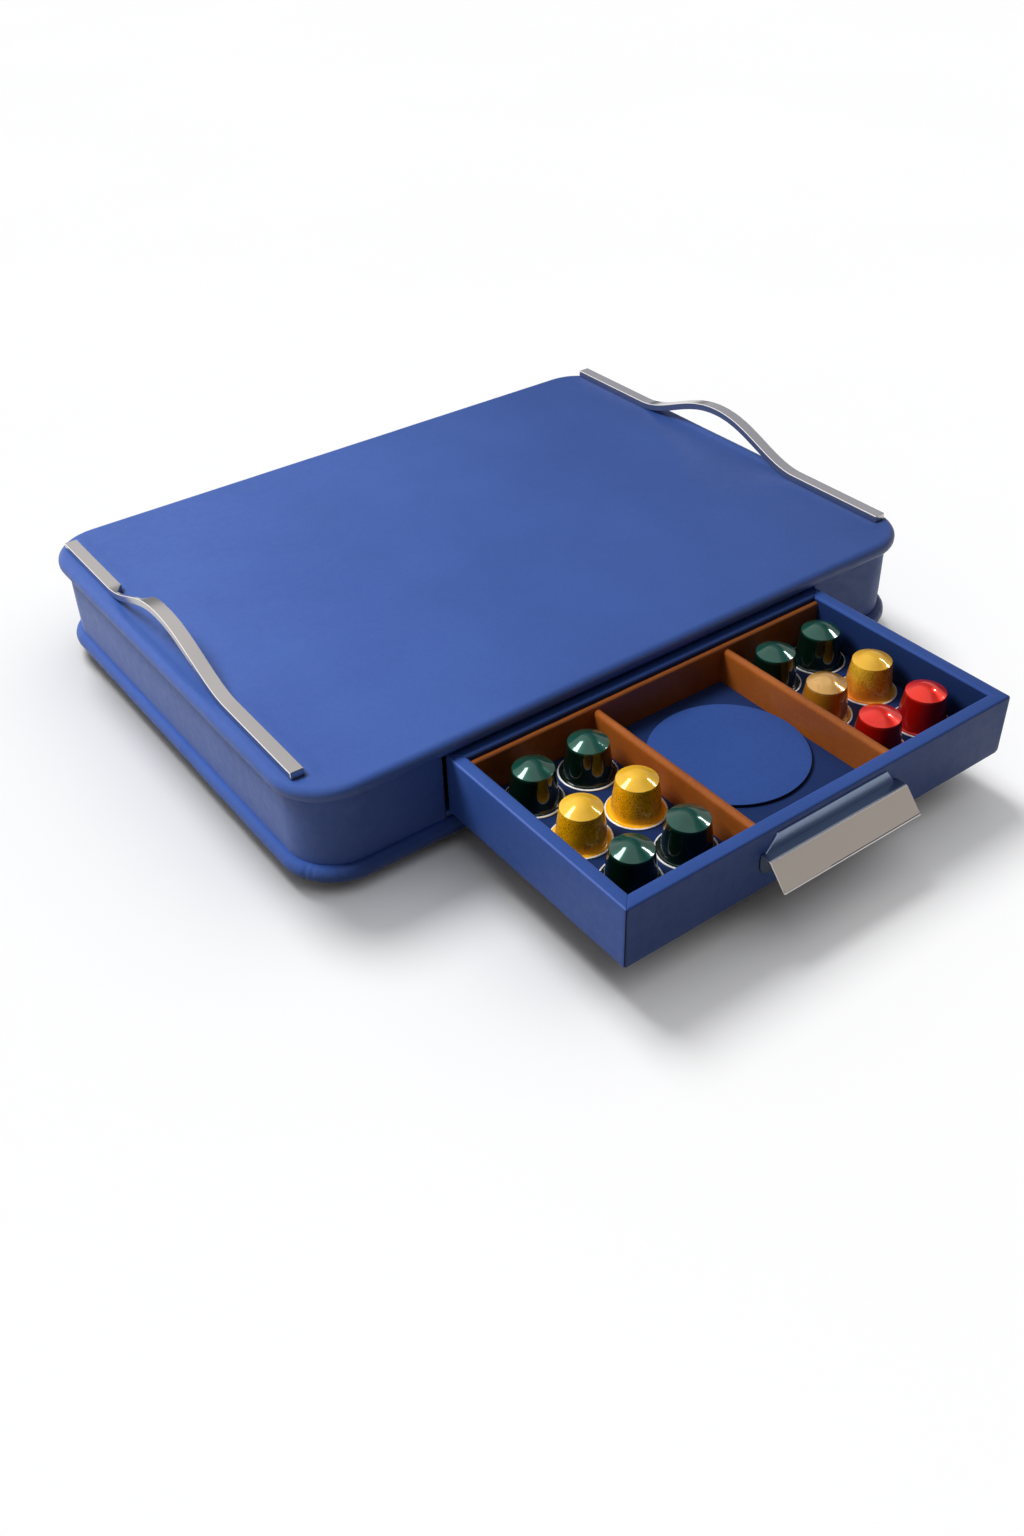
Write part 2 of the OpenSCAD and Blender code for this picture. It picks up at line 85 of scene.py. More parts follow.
def loft(rings, closed=True, cap0=False, cap1=False, loop=False):
    n, m = len(rings[0]), len(rings)
    verts = [p for r in rings for p in r]
    faces = []
    for i in range(m if loop else m - 1):
        a, b = i * n, ((i + 1) % m) * n
        for j in range(n if closed else n - 1):
            k = (j + 1) % n
            faces.append((a + j, a + k, b + k, b + j))
    if cap0:
        faces.append(tuple(range(n - 1, -1, -1)))
    if cap1:
        faces.append(tuple((m - 1) * n + j for j in range(n)))
    return verts, faces


def join(*parts):
    verts, faces = [], []
    for v, f in parts:
        k = len(verts)
        verts += v
        faces += [tuple(i + k for i in q) for q in f]
    return verts, faces


def make(name, part, body, mats, nodes=(), slot=None, sharp=40, flat=False,
         merge=1e-4, pick=None):
    """Makes a mesh piece from millimetre vertices, lets it ride and replaces nodes."""
    verts, faces = part
    bm = bmesh.new()
    vs = [bm.verts.new((v[0] * MM, v[1] * MM, v[2] * MM)) for v in verts]
    for f in faces:
        if len(set(f)) > 2:
            try:
                bm.faces.new([vs[i] for i in f])
            except ValueError:
                pass
    if merge:
        bmesh.ops.remove_doubles(bm, verts=bm.verts, dist=merge * 0.1)
    bmesh.ops.dissolve_degenerate(bm, dist=1e-7, edges=bm.edges)
    bmesh.ops.recalc_face_normals(bm, faces=bm.faces)
    me = bpy.data.meshes.new(name)
    bm.to_mesh(me)
    bm.free()
    for m in (mats if isinstance(mats, (list, tuple)) else [mats]):
        me.materials.append(m)
    if pick:
        for p in me.polygons:
            p.material_index = pick(Vector(p.center) / MM, Vector(p.normal))
    if not flat:
        me.shade_smooth()
        me.set_sharp_from_angle(angle=math.radians(sharp))
    ob = bpy.data.objects.new(name, me)
    bpy.context.scene.collection.objects.link(ob)
    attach(ob, body)
    if nodes:
        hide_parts(*nodes)
    return ob


# -------------------------------------------------------------- materials

class Net:
    """Short hand for building a node tree."""

    def __init__(self, name):
        self.mat = bpy.data.materials.new(name)
        self.mat.use_nodes = True
        self.t = self.mat.node_tree
        self.bsdf = self.t.nodes["Principled BSDF"]
        self.coord = self.t.nodes.new("ShaderNodeTexCoord").outputs["Object"]

    def node(self, kind, **values):
        n = self.t.nodes.new(kind)
        for k, v in values.items():
            if hasattr(n, k):
                setattr(n, k, v)
            else:
                n.inputs[k.replace("_", " ")].default_value = v
        return n

    def link(self, a, b):
        self.t.links.new(a, b)

    def stretch(self, x, y, z):
        n = self.t.nodes.new("ShaderNodeMapping")
        n.inputs["Scale"].default_value = (x, y, z)
        self.link(self.coord, n.inputs["Vector"])
        return n.outputs["Vector"]

    def noise(self, scale, detail=2.0, rough=0.5, vec=None, distort=0.0):
        n = self.t.nodes.new("ShaderNodeTexNoise")
        n.inputs["Scale"].default_value = scale
        n.inputs["Detail"].default_value = detail
        n.inputs["Roughness"].default_value = rough
        n.inputs["Distortion"].default_value = distort
        self.link(vec or self.coord, n.inputs["Vector"])
        return n.outputs["Fac"]

    def cells(self, scale, feature="F1", vec=None, smoothness=None):
        n = self.t.nodes.new("ShaderNodeTexVoronoi")
        n.feature = feature
        n.inputs["Scale"].default_value = scale
        if smoothness is not None and feature == "SMOOTH_F1":
            n.inputs["Smoothness"].default_value = smoothness
        self.link(vec or self.coord, n.inputs["Vector"])
        return n.outputs["Distance"]

    def ramp(self, fac, *stops):
        n = self.t.nodes.new("ShaderNodeValToRGB")
        e = n.color_ramp.elements
        while len(e) < len(stops):
            e.new(0.5)
        for s, (pos, col) in zip(e, stops):
            s.position = pos
            s.color = (*col, 1.0) if len(col) == 3 else col
        self.link(fac, n.inputs["Fac"])
        return n.outputs["Color"]

    def range(self, fac, a, b, c, d):
        n = self.t.nodes.new("ShaderNodeMapRange")
        n.inputs["From Min"].default_value = a
        n.inputs["From Max"].default_value = b
        n.inputs["To Min"].default_value = c
        n.inputs["To Max"].default_value = d
        self.link(fac, n.inputs["Value"])
        return n.outputs["Result"]

    def math(self, op, a, b):
        n = self.t.nodes.new("ShaderNodeMath")
        n.operation = op
        for i, v in enumerate((a, b)):
            if isinstance(v, (int, float)):
                n.inputs[i].default_value = v
            else:
                self.link(v, n.inputs[i])
        return n.outputs["Value"]

    def mix(self, fac, a, b, blend="MIX"):
        n = self.t.nodes.new("ShaderNodeMix")
        n.data_type = "RGBA"
        n.blend_type = blend
        for sock, v in ((n.inputs[0], fac), (n.inputs[6], a), (n.inputs[7], b)):
            if isinstance(v, (int, float)):
                sock.default_value = v
            elif isinstance(v, tuple):
                sock.default_value = (*v, 1.0)
            else:
                self.link(v, sock)
        return n.outputs[2]

    def axis(self, i):
        n = self.t.nodes.new("ShaderNodeSeparateXYZ")
        self.link(self.coord, n.inputs["Vector"])
        return n.outputs[i]

    def bump(self, height, strength, distance, normal=None):
        n = self.t.nodes.new("ShaderNodeBump")
        n.inputs["Strength"].default_value = strength
        n.inputs["Distance"].default_value = distance
        self.link(height, n.inputs["Height"])
        if normal is not None:
            self.link(normal, n.inputs["Normal"])
        return n.outputs["Normal"]

    def put(self, **sockets):
        for k, v in sockets.items():
            s = self.bsdf.inputs[k.replace("_", " ")]
            if isinstance(v, bpy.types.NodeSocket):
                self.link(v, s)
            elif isinstance(v, tuple) and len(v) == 3:
                s.default_value = (*v, 1.0)
            else:
                s.default_value = v
        return self.mat


def leather(name, dark, mid, light, rough=(0.44, 0.58), grain=1.0, sheen=0.0, gloss=0.3):
    """Smooth dyed leather with a fine pebble grain and cloudy colour."""
    n = Net(name)
    cloud = n.noise(9.0, 3.0, 0.55)
    fine = n.noise(420.0, 2.0, 0.6)
    tone = n.math("ADD", n.math("MULTIPLY", cloud, 0.66), n.math("MULTIPLY", fine, 0.34))
    col = n.ramp(tone, (0.30, dark), (0.50, mid), (0.70, light))
    pebble = n.cells(1250.0, "SMOOTH_F1", smoothness=0.35)
    pores = n.noise(2600.0, 2.0, 0.6)
    h = n.math("ADD", n.math("MULTIPLY", pebble, 0.8), n.math("MULTIPLY", pores, 0.35))
    soft = n.noise(70.0, 2.0, 0.5)
    b1 = n.bump(soft, 0.10, 0.0008)
    b2 = n.bump(h, 0.42 * grain, 0.00012, b1)
    r = n.range(n.noise(160.0, 3.0, 0.6), 0.3, 0.7, *rough)
    return n.put(Base_Color=col, Roughness=r, Normal=b2, Sheen_Weight=sheen,
                 Sheen_Roughness=0.45, Specular_IOR_Level=gloss)


def steel(name, base, along, rough=0.30, tint=0.04):
    """Polished steel with a faint brushing along one axis."""
    n = Net(name)
    sc = [900.0, 900.0, 900.0]
    sc[along] = 14.0
    brush = n.noise(1.0, 3.0, 0.6, vec=n.stretch(*sc))
    haze = n.noise(34.0, 3.0, 0.5)
    hi = tuple(min(1, c * (1 + tint)) for c in base)
    lo = tuple(c * (1 - tint) for c in base)
    col = n.ramp(n.math("ADD", n.math("MULTIPLY", brush, 0.3), n.math("MULTIPLY", haze, 0.7)),
                 (0.35, lo), (0.65, hi))
    r = n.math("ADD", n.range(brush, 0.3, 0.7, -0.01, 0.01), n.range(haze, 0.3, 0.7, rough - 0.02, rough + 0.02))
    return n.put(Base_Color=col, Metallic=1.0, Roughness=r,
                 Normal=n.bump(brush, 0.015, 0.00001))


BLUE = ((0.027, 0.068, 0.258), (0.032, 0.079, 0.290), (0.037, 0.090, 0.322))


def tone(k):
    return [tuple(c * k for c in col) for col in BLUE]


# tone() makes lighter and darker copies of the one blue leather: the walls a little lighter, the roll and drawer a
# little darker, painted light and shade for how brightly each surface is lit
m_top = leather("top_leather", *BLUE, rough=(0.40, 0.50), gloss=0.50)
m_wall = leather("wall_leather", *tone(1.08), rough=(0.46, 0.60), sheen=0.10, gloss=0.45)
m_roll = leather("roll_leather", *tone(0.98), rough=(0.36, 0.48), gloss=0.30)
m_drawer = leather("drawer_leather", *tone(0.97), rough=(0.40, 0.52), gloss=0.25)
# much darker copy for the mats and the drawer's inner faces: painted shade inside the drawer
m_shaded_mat = leather("shaded_mat_leather", *tone(0.36), rough=(0.52, 0.64), gloss=0.15)
# lighter, glossier copy of the blue: painted highlight along the rounded outer top edges of the drawer's sides and back
m_crest_highlight = leather("edge_highlight_leather", (0.055, 0.105, 0.36), (0.065, 0.12, 0.39), (0.075, 0.135, 0.42),
                  rough=(0.30, 0.40), gloss=0.45)
m_disc = leather("disc_leather", *tone(0.92), rough=(0.50, 0.62), gloss=0.18)
# near-black leather: painted shade in the drawer front's corner seams, and the dark side and underside of the disc
m_seam_shade_edge = leather("shaded_seams_and_black_edge", (0.002, 0.003, 0.010), (0.003, 0.004, 0.014), (0.004, 0.006, 0.018),
                 rough=(0.40, 0.50), gloss=0.3)


def brown_leather():
    n = Net("brown_leather")
    cloud = n.noise(24.0, 4.0, 0.6)
    fine = n.noise(520.0, 2.0, 0.6)
    tone = n.math("ADD", n.math("MULTIPLY", cloud, 0.7), n.math("MULTIPLY", fine, 0.3))
    col = n.ramp(tone, (0.30, (0.235, 0.060, 0.009)), (0.50, (0.300, 0.080, 0.012)),
                 (0.72, (0.370, 0.106, 0.017)))
    pebble = n.cells(1100.0, "SMOOTH_F1", smoothness=0.35)
    pores = n.noise(2400.0, 2.0, 0.6)
    h = n.math("ADD", n.math("MULTIPLY", pebble, 0.8), n.math("MULTIPLY", pores, 0.4))
    b1 = n.bump(n.noise(90.0, 2.0, 0.5), 0.14, 0.0008)
    b2 = n.bump(h, 0.34, 0.00012, b1)
    r = n.range(n.noise(140.0, 3.0, 0.6), 0.3, 0.7, 0.30, 0.42)
    return n.put(Base_Color=col, Roughness=r, Normal=b2, Specular_IOR_Level=0.32)


m_brown = brown_leather()
m_handle = steel("handle_steel", (0.46, 0.438, 0.43), 1, 0.15, 0.012)
m_pull = steel("pull_steel", (0.50, 0.455, 0.410), 0, 0.30, 0.015)
# blue-grey steel: painted reflection of the blue leather on the pull's plate and ledge
m_blue_reflection_steel = steel("steel_painted_blue_reflection", (0.22, 0.28, 0.40), 0, 0.34, 0.02)
# pale steel: painted highlight on the handle bars' chamfers, the pull's bend and its hem
m_highlight_steel = steel("steel_painted_highlight", (0.86, 0.82, 0.78), 0, 0.32, 0.02)
# near-black steel: painted shade on the left bar's cut face, the pull's plate below the ledge and the crease above the
# hem
m_painted_shade_steel = steel("steel_painted_shade", (0.045, 0.060, 0.095), 0, 0.30, 0.04)
m_zinc = steel("zinc_steel", (0.52, 0.53, 0.54), 1, 0.38)


def lacquer(name, base, deep, speck=None, rough=0.30, patch=None, metal=0.5, coat=0.7, low=None):
    """Tinted foil under a clear coat; speck adds a dark stipple on the sides, and low recolours the sides below the
    dome.
    """
    n = Net(name)
    wave = n.noise(60.0, 3.0, 0.5)
    col = n.ramp(wave, (0.35, deep), (0.60, base))
    if patch:
        where, tint, a, b, up = patch
        f = n.math("MULTIPLY", n.range(n.noise(where, 2.0, 0.5), a, b, 0.0, 0.85),
                   n.range(n.axis(2), 0.0590, 0.0605, 1.0, up))
        col = n.mix(f, col, tint)
    # low is darker than the dome colour for green, amber and red: painted shade on their sides; for yellow it is a
    # deeper yellow
    if low:
        col = n.mix(n.range(n.axis(2), 0.0590, 0.0605, 1.0, 0.0), col, low)
    if speck:
        dots = n.math("MULTIPLY", n.range(n.noise(1150.0, 4.0, 0.8), 0.47, 0.60, 0.0, 1.0),
                      n.range(n.noise(110.0, 2.0, 0.5), 0.28, 0.58, 0.25, 1.0))
        side = n.math("MULTIPLY", n.range(n.axis(2), 0.0400, 0.0440, 0.0, 1.0),
                      n.range(n.axis(2), 0.0592, 0.0602, 1.0, 0.04))
        col = n.mix(n.math("MULTIPLY", n.math("MULTIPLY", dots, side), 0.92), col, speck)
    fine = n.noise(900.0, 2.0, 0.5)
    return n.put(Base_Color=col, Metallic=metal, Roughness=n.range(wave, 0.3, 0.7, rough - 0.03, rough + 0.05),
                 Normal=n.bump(fine, 0.04, 0.00004), Coat_Weight=coat, Coat_Roughness=0.04, Coat_IOR=1.5, Specular_IOR_Level=0.05)


m_green = lacquer("green_lacquer", (0.008, 0.074, 0.052), (0.006, 0.055, 0.038), metal=0.28, coat=0.85,
                  low=(0.0015, 0.010, 0.006))
m_yellow = lacquer("yellow_lacquer", (0.86, 0.50, 0.040), (0.74, 0.41, 0.022), speck=(0.20, 0.080, 0.002), rough=0.36,
                   coat=0.55, metal=0.08, low=(1.0, 0.47, 0.003))
m_orange = lacquer("orange_lacquer", (0.84, 0.48, 0.036), (0.72, 0.38, 0.018), speck=(0.20, 0.08, 0.004),
                   rough=0.36, patch=(38.0, (0.74, 0.17, 0.008), 0.46, 0.60, 0.1), metal=0.12)
m_amber = lacquer("amber_lacquer", (0.66, 0.38, 0.12), (0.52, 0.27, 0.06), rough=0.30, metal=0.35,
                  patch=(70.0, (0.40, 0.17, 0.025), 0.45, 0.48, 1.0), low=(0.46, 0.18, 0.012))
m_red = lacquer("red_lacquer", (0.86, 0.030, 0.014), (0.72, 0.016, 0.008), rough=0.28, metal=0.40,
                low=(0.40, 0.004, 0.002))


def foil():
    n = Net("bare_foil")
    g = n.noise(700.0, 2.0, 0.6)
    return n.put(Base_Color=n.ramp(g, (0.3, (0.84, 0.84, 0.83)), (0.7, (0.92, 0.92, 0.91))), Metallic=0.25,
                 Roughness=n.range(g, 0.3, 0.7, 0.26, 0.36), Normal=n.bump(g, 0.08, 0.00004))


m_foil = foil()


def plywood():
    """Birch plywood: fine long grain on the faces and layers in its thickness."""
    n = Net("birch_plywood")
    grain = n.noise(1.0, 4.0, 0.6, vec=n.stretch(26.0, 420.0, 420.0), distort=0.3)
    layer = n.math("PINGPONG", n.axis(2), 0.0014)
    band = n.range(layer, 0.0, 0.0014, 0.0, 1.0)
    col = n.ramp(grain, (0.30, (0.40, 0.26, 0.13)), (0.55, (0.56, 0.40, 0.22)), (0.75, (0.64, 0.48, 0.29)))
    col = n.mix(n.math("MULTIPLY", band, 0.30), col, (0.36, 0.22, 0.11))
    return n.put(Base_Color=col, Roughness=n.range(grain, 0.3, 0.7, 0.50, 0.66), Normal=n.bump(grain, 0.15, 0.0002))


def soft_black(name, base, scale):
    n = Net(name)
    g = n.cells(scale)
    f = n.noise(scale * 3, 2.0, 0.6)
    col = n.ramp(f, (0.3, base), (0.7, tuple(c * 1.6 for c in base)))
    return n.put(Base_Color=col, Roughness=n.range(f, 0.3, 0.7, 0.62, 0.80), Normal=n.bump(g, 0.4, 0.0004))


def metal_plain(name, base, rough):
    n = Net(name)
    g = n.noise(500.0, 3.0, 0.6)
    return n.put(Base_Color=n.ramp(g, (0.3, tuple(c * 0.9 for c in base)), (0.7, base)), Metallic=1.0,
                 Roughness=n.range(g, 0.3, 0.7, rough - 0.05, rough + 0.05), Normal=n.bump(g, 0.06, 0.00005))


def foam():
    n = Net("foam")
    g = n.cells(900.0)
    return n.put(Base_Color=n.ramp(g, (0.1, (0.62, 0.58, 0.44)), (0.6, (0.78, 0.74, 0.60))), Roughness=0.9,
                 Normal=n.bump(g, 0.6, 0.0006))


m_ply, m_rubber = plywood(), soft_black("rubber", (0.012, 0.012, 0.013), 380.0)
m_brass, m_foam = metal_plain("brass", (0.62, 0.43, 0.16), 0.30), foam()

by_slot = {"blue_leather": m_wall, "brown_leather": m_brown, "deep_blue_leather": m_disc,
           "plywood": m_ply, "polished_steel": m_handle, "zinc_steel": m_zinc, "brass": m_brass,
           "rubber": m_rubber, "foam": m_foam, "green_pod": m_green, "yellow_pod": m_yellow,
           "amber_pod": m_amber, "red_pod": m_red}
node_slot = {s["node"]: s["material_slot"] for s in frame["record"]["subparts"]}
for name, ob in frame["nodes"].items():
    ob.data.materials.clear()
    ob.data.materials.append(by_slot[node_slot[name]])


# ------------------------------------------------------------------- case

def outline(step=5.0, n_arc=30):
    """Points of the wall face with outward normals, anticlockwise from the
    middle of the front: (x, y, nx, ny)."""
    pts = []

    def line(x0, y0, x1, y1, nx, ny):
        n = max(1, round(math.hypot(x1 - x0, y1 - y0) / step))
        for i in range(n):
            pts.append((lerp(x0, x1, i / n), lerp(y0, y1, i / n), nx, ny))

    def corner(cx, cy, a0):
        for i in range(n_arc):
            a = a0 + PI / 2 * i / n_arc
            pts.append((cx + R * math.cos(a), cy + R * math.sin(a), math.cos(a), math.sin(a)))

    cx, cy = HW - R, HD - R
    line(0, -HD, cx, -HD, 0, -1)
    corner(cx, -cy, -PI / 2)
    line(HW, -cy, HW, cy, 1, 0)
    corner(cx, cy, 0)
    line(cx, HD, -cx, HD, 0, 1)
    corner(-cx, cy, PI / 2)
    line(-HW, cy, -HW, -cy, -1, 0)
    corner(-cx, -cy, PI)
    line(-cx, -HD, 0, -HD, 0, -1)
    return pts


RING = outline()
HANDLE_X, HANDLE_Y = 233.5, 6.0


def top_height(x, y):
    """How far the padded top's leather stands over its nominal level."""
    inside = min(HW - abs(x), HD - abs(y))
    up = 0.55 * smooth(inside / 110.0) + 0.10 * wob(x, y, 0, 46.0, 1.3) * smooth(inside / 14.0)
    dx = abs(x - HANDLE_X) if x > 0 else abs(x + 231.6 - 0.008 * (y - HANDLE_Y))
    dy = abs(y - HANDLE_Y)
    foot = smooth((dy - 78.0) / 10.0) * smooth((172.0 - dy) / 6.0)     # where a bar presses
    up += foot * (0.45 * bell(dx - 8.5, 4.0) - 0.25 * smooth((7.0 - dx) / 3.0))
    mid = smooth((88.0 - dy) / 40.0)                                   # between a bar's feet
    up -= mid * 1.20 * smooth((42.0 - inside) / 38.0) * (1.0 if abs(x) > 190 else 0.0)
    return up


def top_ring(o, z, ripple=0.0):
    out = []
    for (x, y, nx, ny) in RING:
        px, py = x + nx * o, y + ny * o
        k = ripple * wob(px, py, z, 38.0, 4.1)
        out.append((px + nx * k, py + ny * k, z))
    return out


# outer surface of the top, from under its edge, round it and over the top
prof = [(5.5 * math.sin(t), 72.8 - 5.2 * math.cos(t)) for t in [PI / 2 * i / 9 for i in range(10)]]
prof += [(0.5 + 5.0 * math.cos(t), 73.4 + 4.9 * math.sin(t)) for t in [PI / 2 * i / 11 for i in range(12)]]
rings = [top_ring(0.0, 67.6)]
for i, (o, z) in enumerate(prof):
    rings.append(top_ring(o, z, 0.16))
for o in (-1.5, -3.5, -6, -9, -12, -15, -18, -22, -26):
    rings.append([(x, y, z + top_height(x, y) * smooth(-o / 6.0)) for x, y, z in top_ring(o, TOP_Z)])
edge = rings[-1]
for k in range(1, 27):
    t = k / 26.0
    rings.append([(x2, y2, TOP_Z + top_height(x2, y2)) for x2, y2 in
                  ((lerp(x, max(-60.5, min(60.5, x)), t), lerp(y, 0.0, t)) for x, y, _ in edge)])
outer = loft(rings)
# inner surface, a skin's thickness below, closes the shell
inner_prof = [(0.0, 67.6), (0.0, 69.4)]
inner_prof += [(4.2 * math.sin(t), 73.0 - 3.7 * math.cos(t)) for t in [PI / 2 * i / 5 for i in range(1, 6)]]
inner_prof += [(0.4 + 3.8 * math.cos(t), 73.3 + 3.65 * math.sin(t)) for t in [PI / 2 * i / 5 for i in range(1, 6)]]
irings = [top_ring(o, z) for o, z in inner_prof]
flat_edge = top_ring(-20, 76.95)
irings.append(flat_edge)
for k in (0.25, 0.5, 0.75, 1.0):
    irings.append([(lerp(x, max(-60.5, min(60.5, x)), k), lerp(y, 0.0, k), 76.95) for x, y, _ in flat_edge])
top = make("padded_top", join(outer, loft(irings)), "case", m_top, ["top_leather"], "blue_leather", sharp=60)


# leather round the walls, turned in at the opening
def wall_path():
    pts = []
    for i in range(6):
        pts.append((150.5, lerp(-168.3, -177.0, i / 5), -1, 0))
    for i in range(1, 6):
        a = PI - PI / 2 * i / 6
        pts.append((152.3 + 1.8 * math.cos(PI + PI / 2 * i / 6), -177.7 + 1.8 * math.sin(PI + PI / 2 * i / 6),
                    math.cos(PI + PI / 2 * i / 6), math.sin(PI + PI / 2 * i / 6)))
    ring = [p for p in RING if not (p[1] < -HD + 1 and abs(p[0]) < 153.5)]
    start = next(i for i, p in enumerate(ring) if p[1] < -HD + 1 and p[0] > 0)
    ring = ring[start:] + ring[:start]
    body = [(153.0, -HD, 0, -1)] + ring + [(-153.0, -HD, 0, -1)]
    return pts + body + [(-x, y, -nx, ny) for x, y, nx, ny in reversed(pts)]


WALL = wall_path()


def wall_ring(z, inset, bulge):
    out = []
    for x, y, nx, ny in WALL:
        free = smooth((abs(x) - 151.0) / 8.0) if y < -160 else 1.0
        o = (bulge + 0.16 * wob(x, y, z, 30.0, 7.7)) * free - inset
        out.append((x + nx * o, y + ny * o, z))
    return out


zs = [19.2, 20.2, 21.5, 24, 28, 33, 38, 43, 48, 53, 58, 62, 65, 67, 68.0]
outs = [wall_ring(z, 0.0, 0.22 * math.sin(PI * (z - 19.2) / 48.8)) for z in zs]
ins = [wall_ring(z, 1.2, 0.0) for z in zs]
v1, f1 = loft(outs, closed=False)
v2, f2 = loft(ins, closed=False)
n = len(WALL)
verts = v1 + v2
faces = f1 + [tuple(i + len(v1) for i in reversed(q)) for q in f2]
m = len(v1)
for j in range(n - 1):
    faces.append((j + 1, j, m + j, m + j + 1))
    a = (len(zs) - 1) * n
    faces.append((a + j, a + j + 1, m + a + j + 1, m + a + j))
for i in range(len(zs) - 1):
    a, b = i * n, (i + 1) * n
    faces.append((a, b, m + b, m + a))
    faces.append((b + n - 1, a + n - 1, m + a + n - 1, m + b + n - 1))
make("wall_cover", (verts, faces), "case", m_wall, ["wall_leather"], "blue_leather", sharp=60)

# padded roll round the base, with pinches at the front corners
ROLL = outline(step=3.0, n_arc=44)


def roll_ring(k, n):
    """Ring k of n of the roll's section, from the wall crease down and under."""
    a = PI / 2 - PI * k / n
    out = []
    for x, y, nx, ny in ROLL:
        s = math.atan2(y + 147.5, x + 208) if x < -200 and y < -140 else None
        w = 0.30 * wob(x, y, 0, 17.0, 2.2) + 0.16 * wob(x, y, 0, 6.5, 5.1)
        lift = 0.35 * wob(x, y, 0, 24.0, 9.4)
        pinch = 0.0
        if s is not None:
            for at, wide, deep in ((-2.62, 0.030, 1.1), (-2.50, 0.018, 0.8), (-2.06, 0.022, 0.45)):
                pinch += deep * bell(s - at, wide)
        if x > 200 and y < -140:
            s2 = math.atan2(y + 147.5, x - 208)
            for at, wide, deep in ((-0.42, 0.03, 1.2), (-0.55, 0.02, 0.7), (-1.1, 0.03, 0.4)):
                pinch += deep * bell(s2 - at, wide)
        o = 5.75 * max(0.0, math.cos(a)) ** 0.92
        o += (w - pinch * (0.35 + 0.65 * max(0.0, math.sin(a + 0.3)))) * min(1.0, o / 2.0)
        z = 13.75 + 5.75 * math.sin(a) + lift * 0.5 * max(0, math.cos(a))
        out.append((x + nx * o, y + ny * o, z))
    return out


rings = [[(x, y, 8.0) for x, y, _, _ in ROLL]] + [[(x, y, 19.5) for x, y, _, _ in ROLL]]
sect = [roll_ring(k, 18) for k in range(19)]
roll = make("base_roll_leather", loft([*sect, [(x - nx * 0.8, y - ny * 0.8, 8.0) for x, y, nx, ny in ROLL],
                                       [(x - nx * 0.8, y - ny * 0.8, 19.5) for x, y, nx, ny in ROLL]], loop=True),
            "case", m_roll, ["base_roll"], "blue_leather", sharp=70)


def soft_box(name, lo, hi, r, body, mat, nodes, seg=3, step=9.0, ripple=0.0, seed=0.0):
    """A box with rounded edges whose faces are cut fine enough to ripple."""
    bm = bmesh.new()
    bmesh.ops.create_cube(bm, size=1.0)
    for v in bm.verts:
        for i in range(3):
            v.co[i] = (lo[i] if v.co[i] < 0 else hi[i]) * MM
    for i in range(3):
        cuts = max(0, int(round((hi[i] - lo[i]) / step)) - 1)
        if cuts and ripple:
            es = [e for e in bm.edges if abs((e.verts[0].co - e.verts[1].co).normalized()[i]) > 0.99]
            bmesh.ops.subdivide_edges(bm, edges=es, cuts=min(cuts, 40), use_grid_fill=True)
    hard = [e for e in bm.edges if e.is_manifold and e.calc_face_angle(0) > 0.5]
    bmesh.ops.bevel(bm, geom=hard, offset=r * MM, segments=seg, profile=0.5, affect="EDGES", clamp_overlap=True)
    if ripple:
        for v in bm.verts:
            c = v.co / MM
            v.co += v.normal * ripple * MM * wob(c.x, c.y, c.z, 22.0, seed)
    me = bpy.data.meshes.new(name)
    bm.to_mesh(me)
    bm.free()
    me.materials.append(mat)
    me.shade_smooth()
    me.set_sharp_from_angle(angle=math.radians(35))
    ob = bpy.data.objects.new(name, me)
    bpy.context.scene.collection.objects.link(ob)
    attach(ob, body)
    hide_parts(*nodes)
    return ob


soft_box("sill_cover", (-150.5, -179.5, 19.5), (150.5, -169.5, 23.6), 1.2, "case", m_wall, ["opening_sill"],
         seg=4)


# ---------------------------------------------------------------- handles

def hump(y):
    u = abs(y) / 86.0
    return 0.0 if u >= 1 else 22.5 * math.cos(PI / 2 * u ** 1.05) ** 2


LEFT_IN, LEFT_TURN, LEFT_SHORT = 1.9, math.radians(-0.46), 7.0


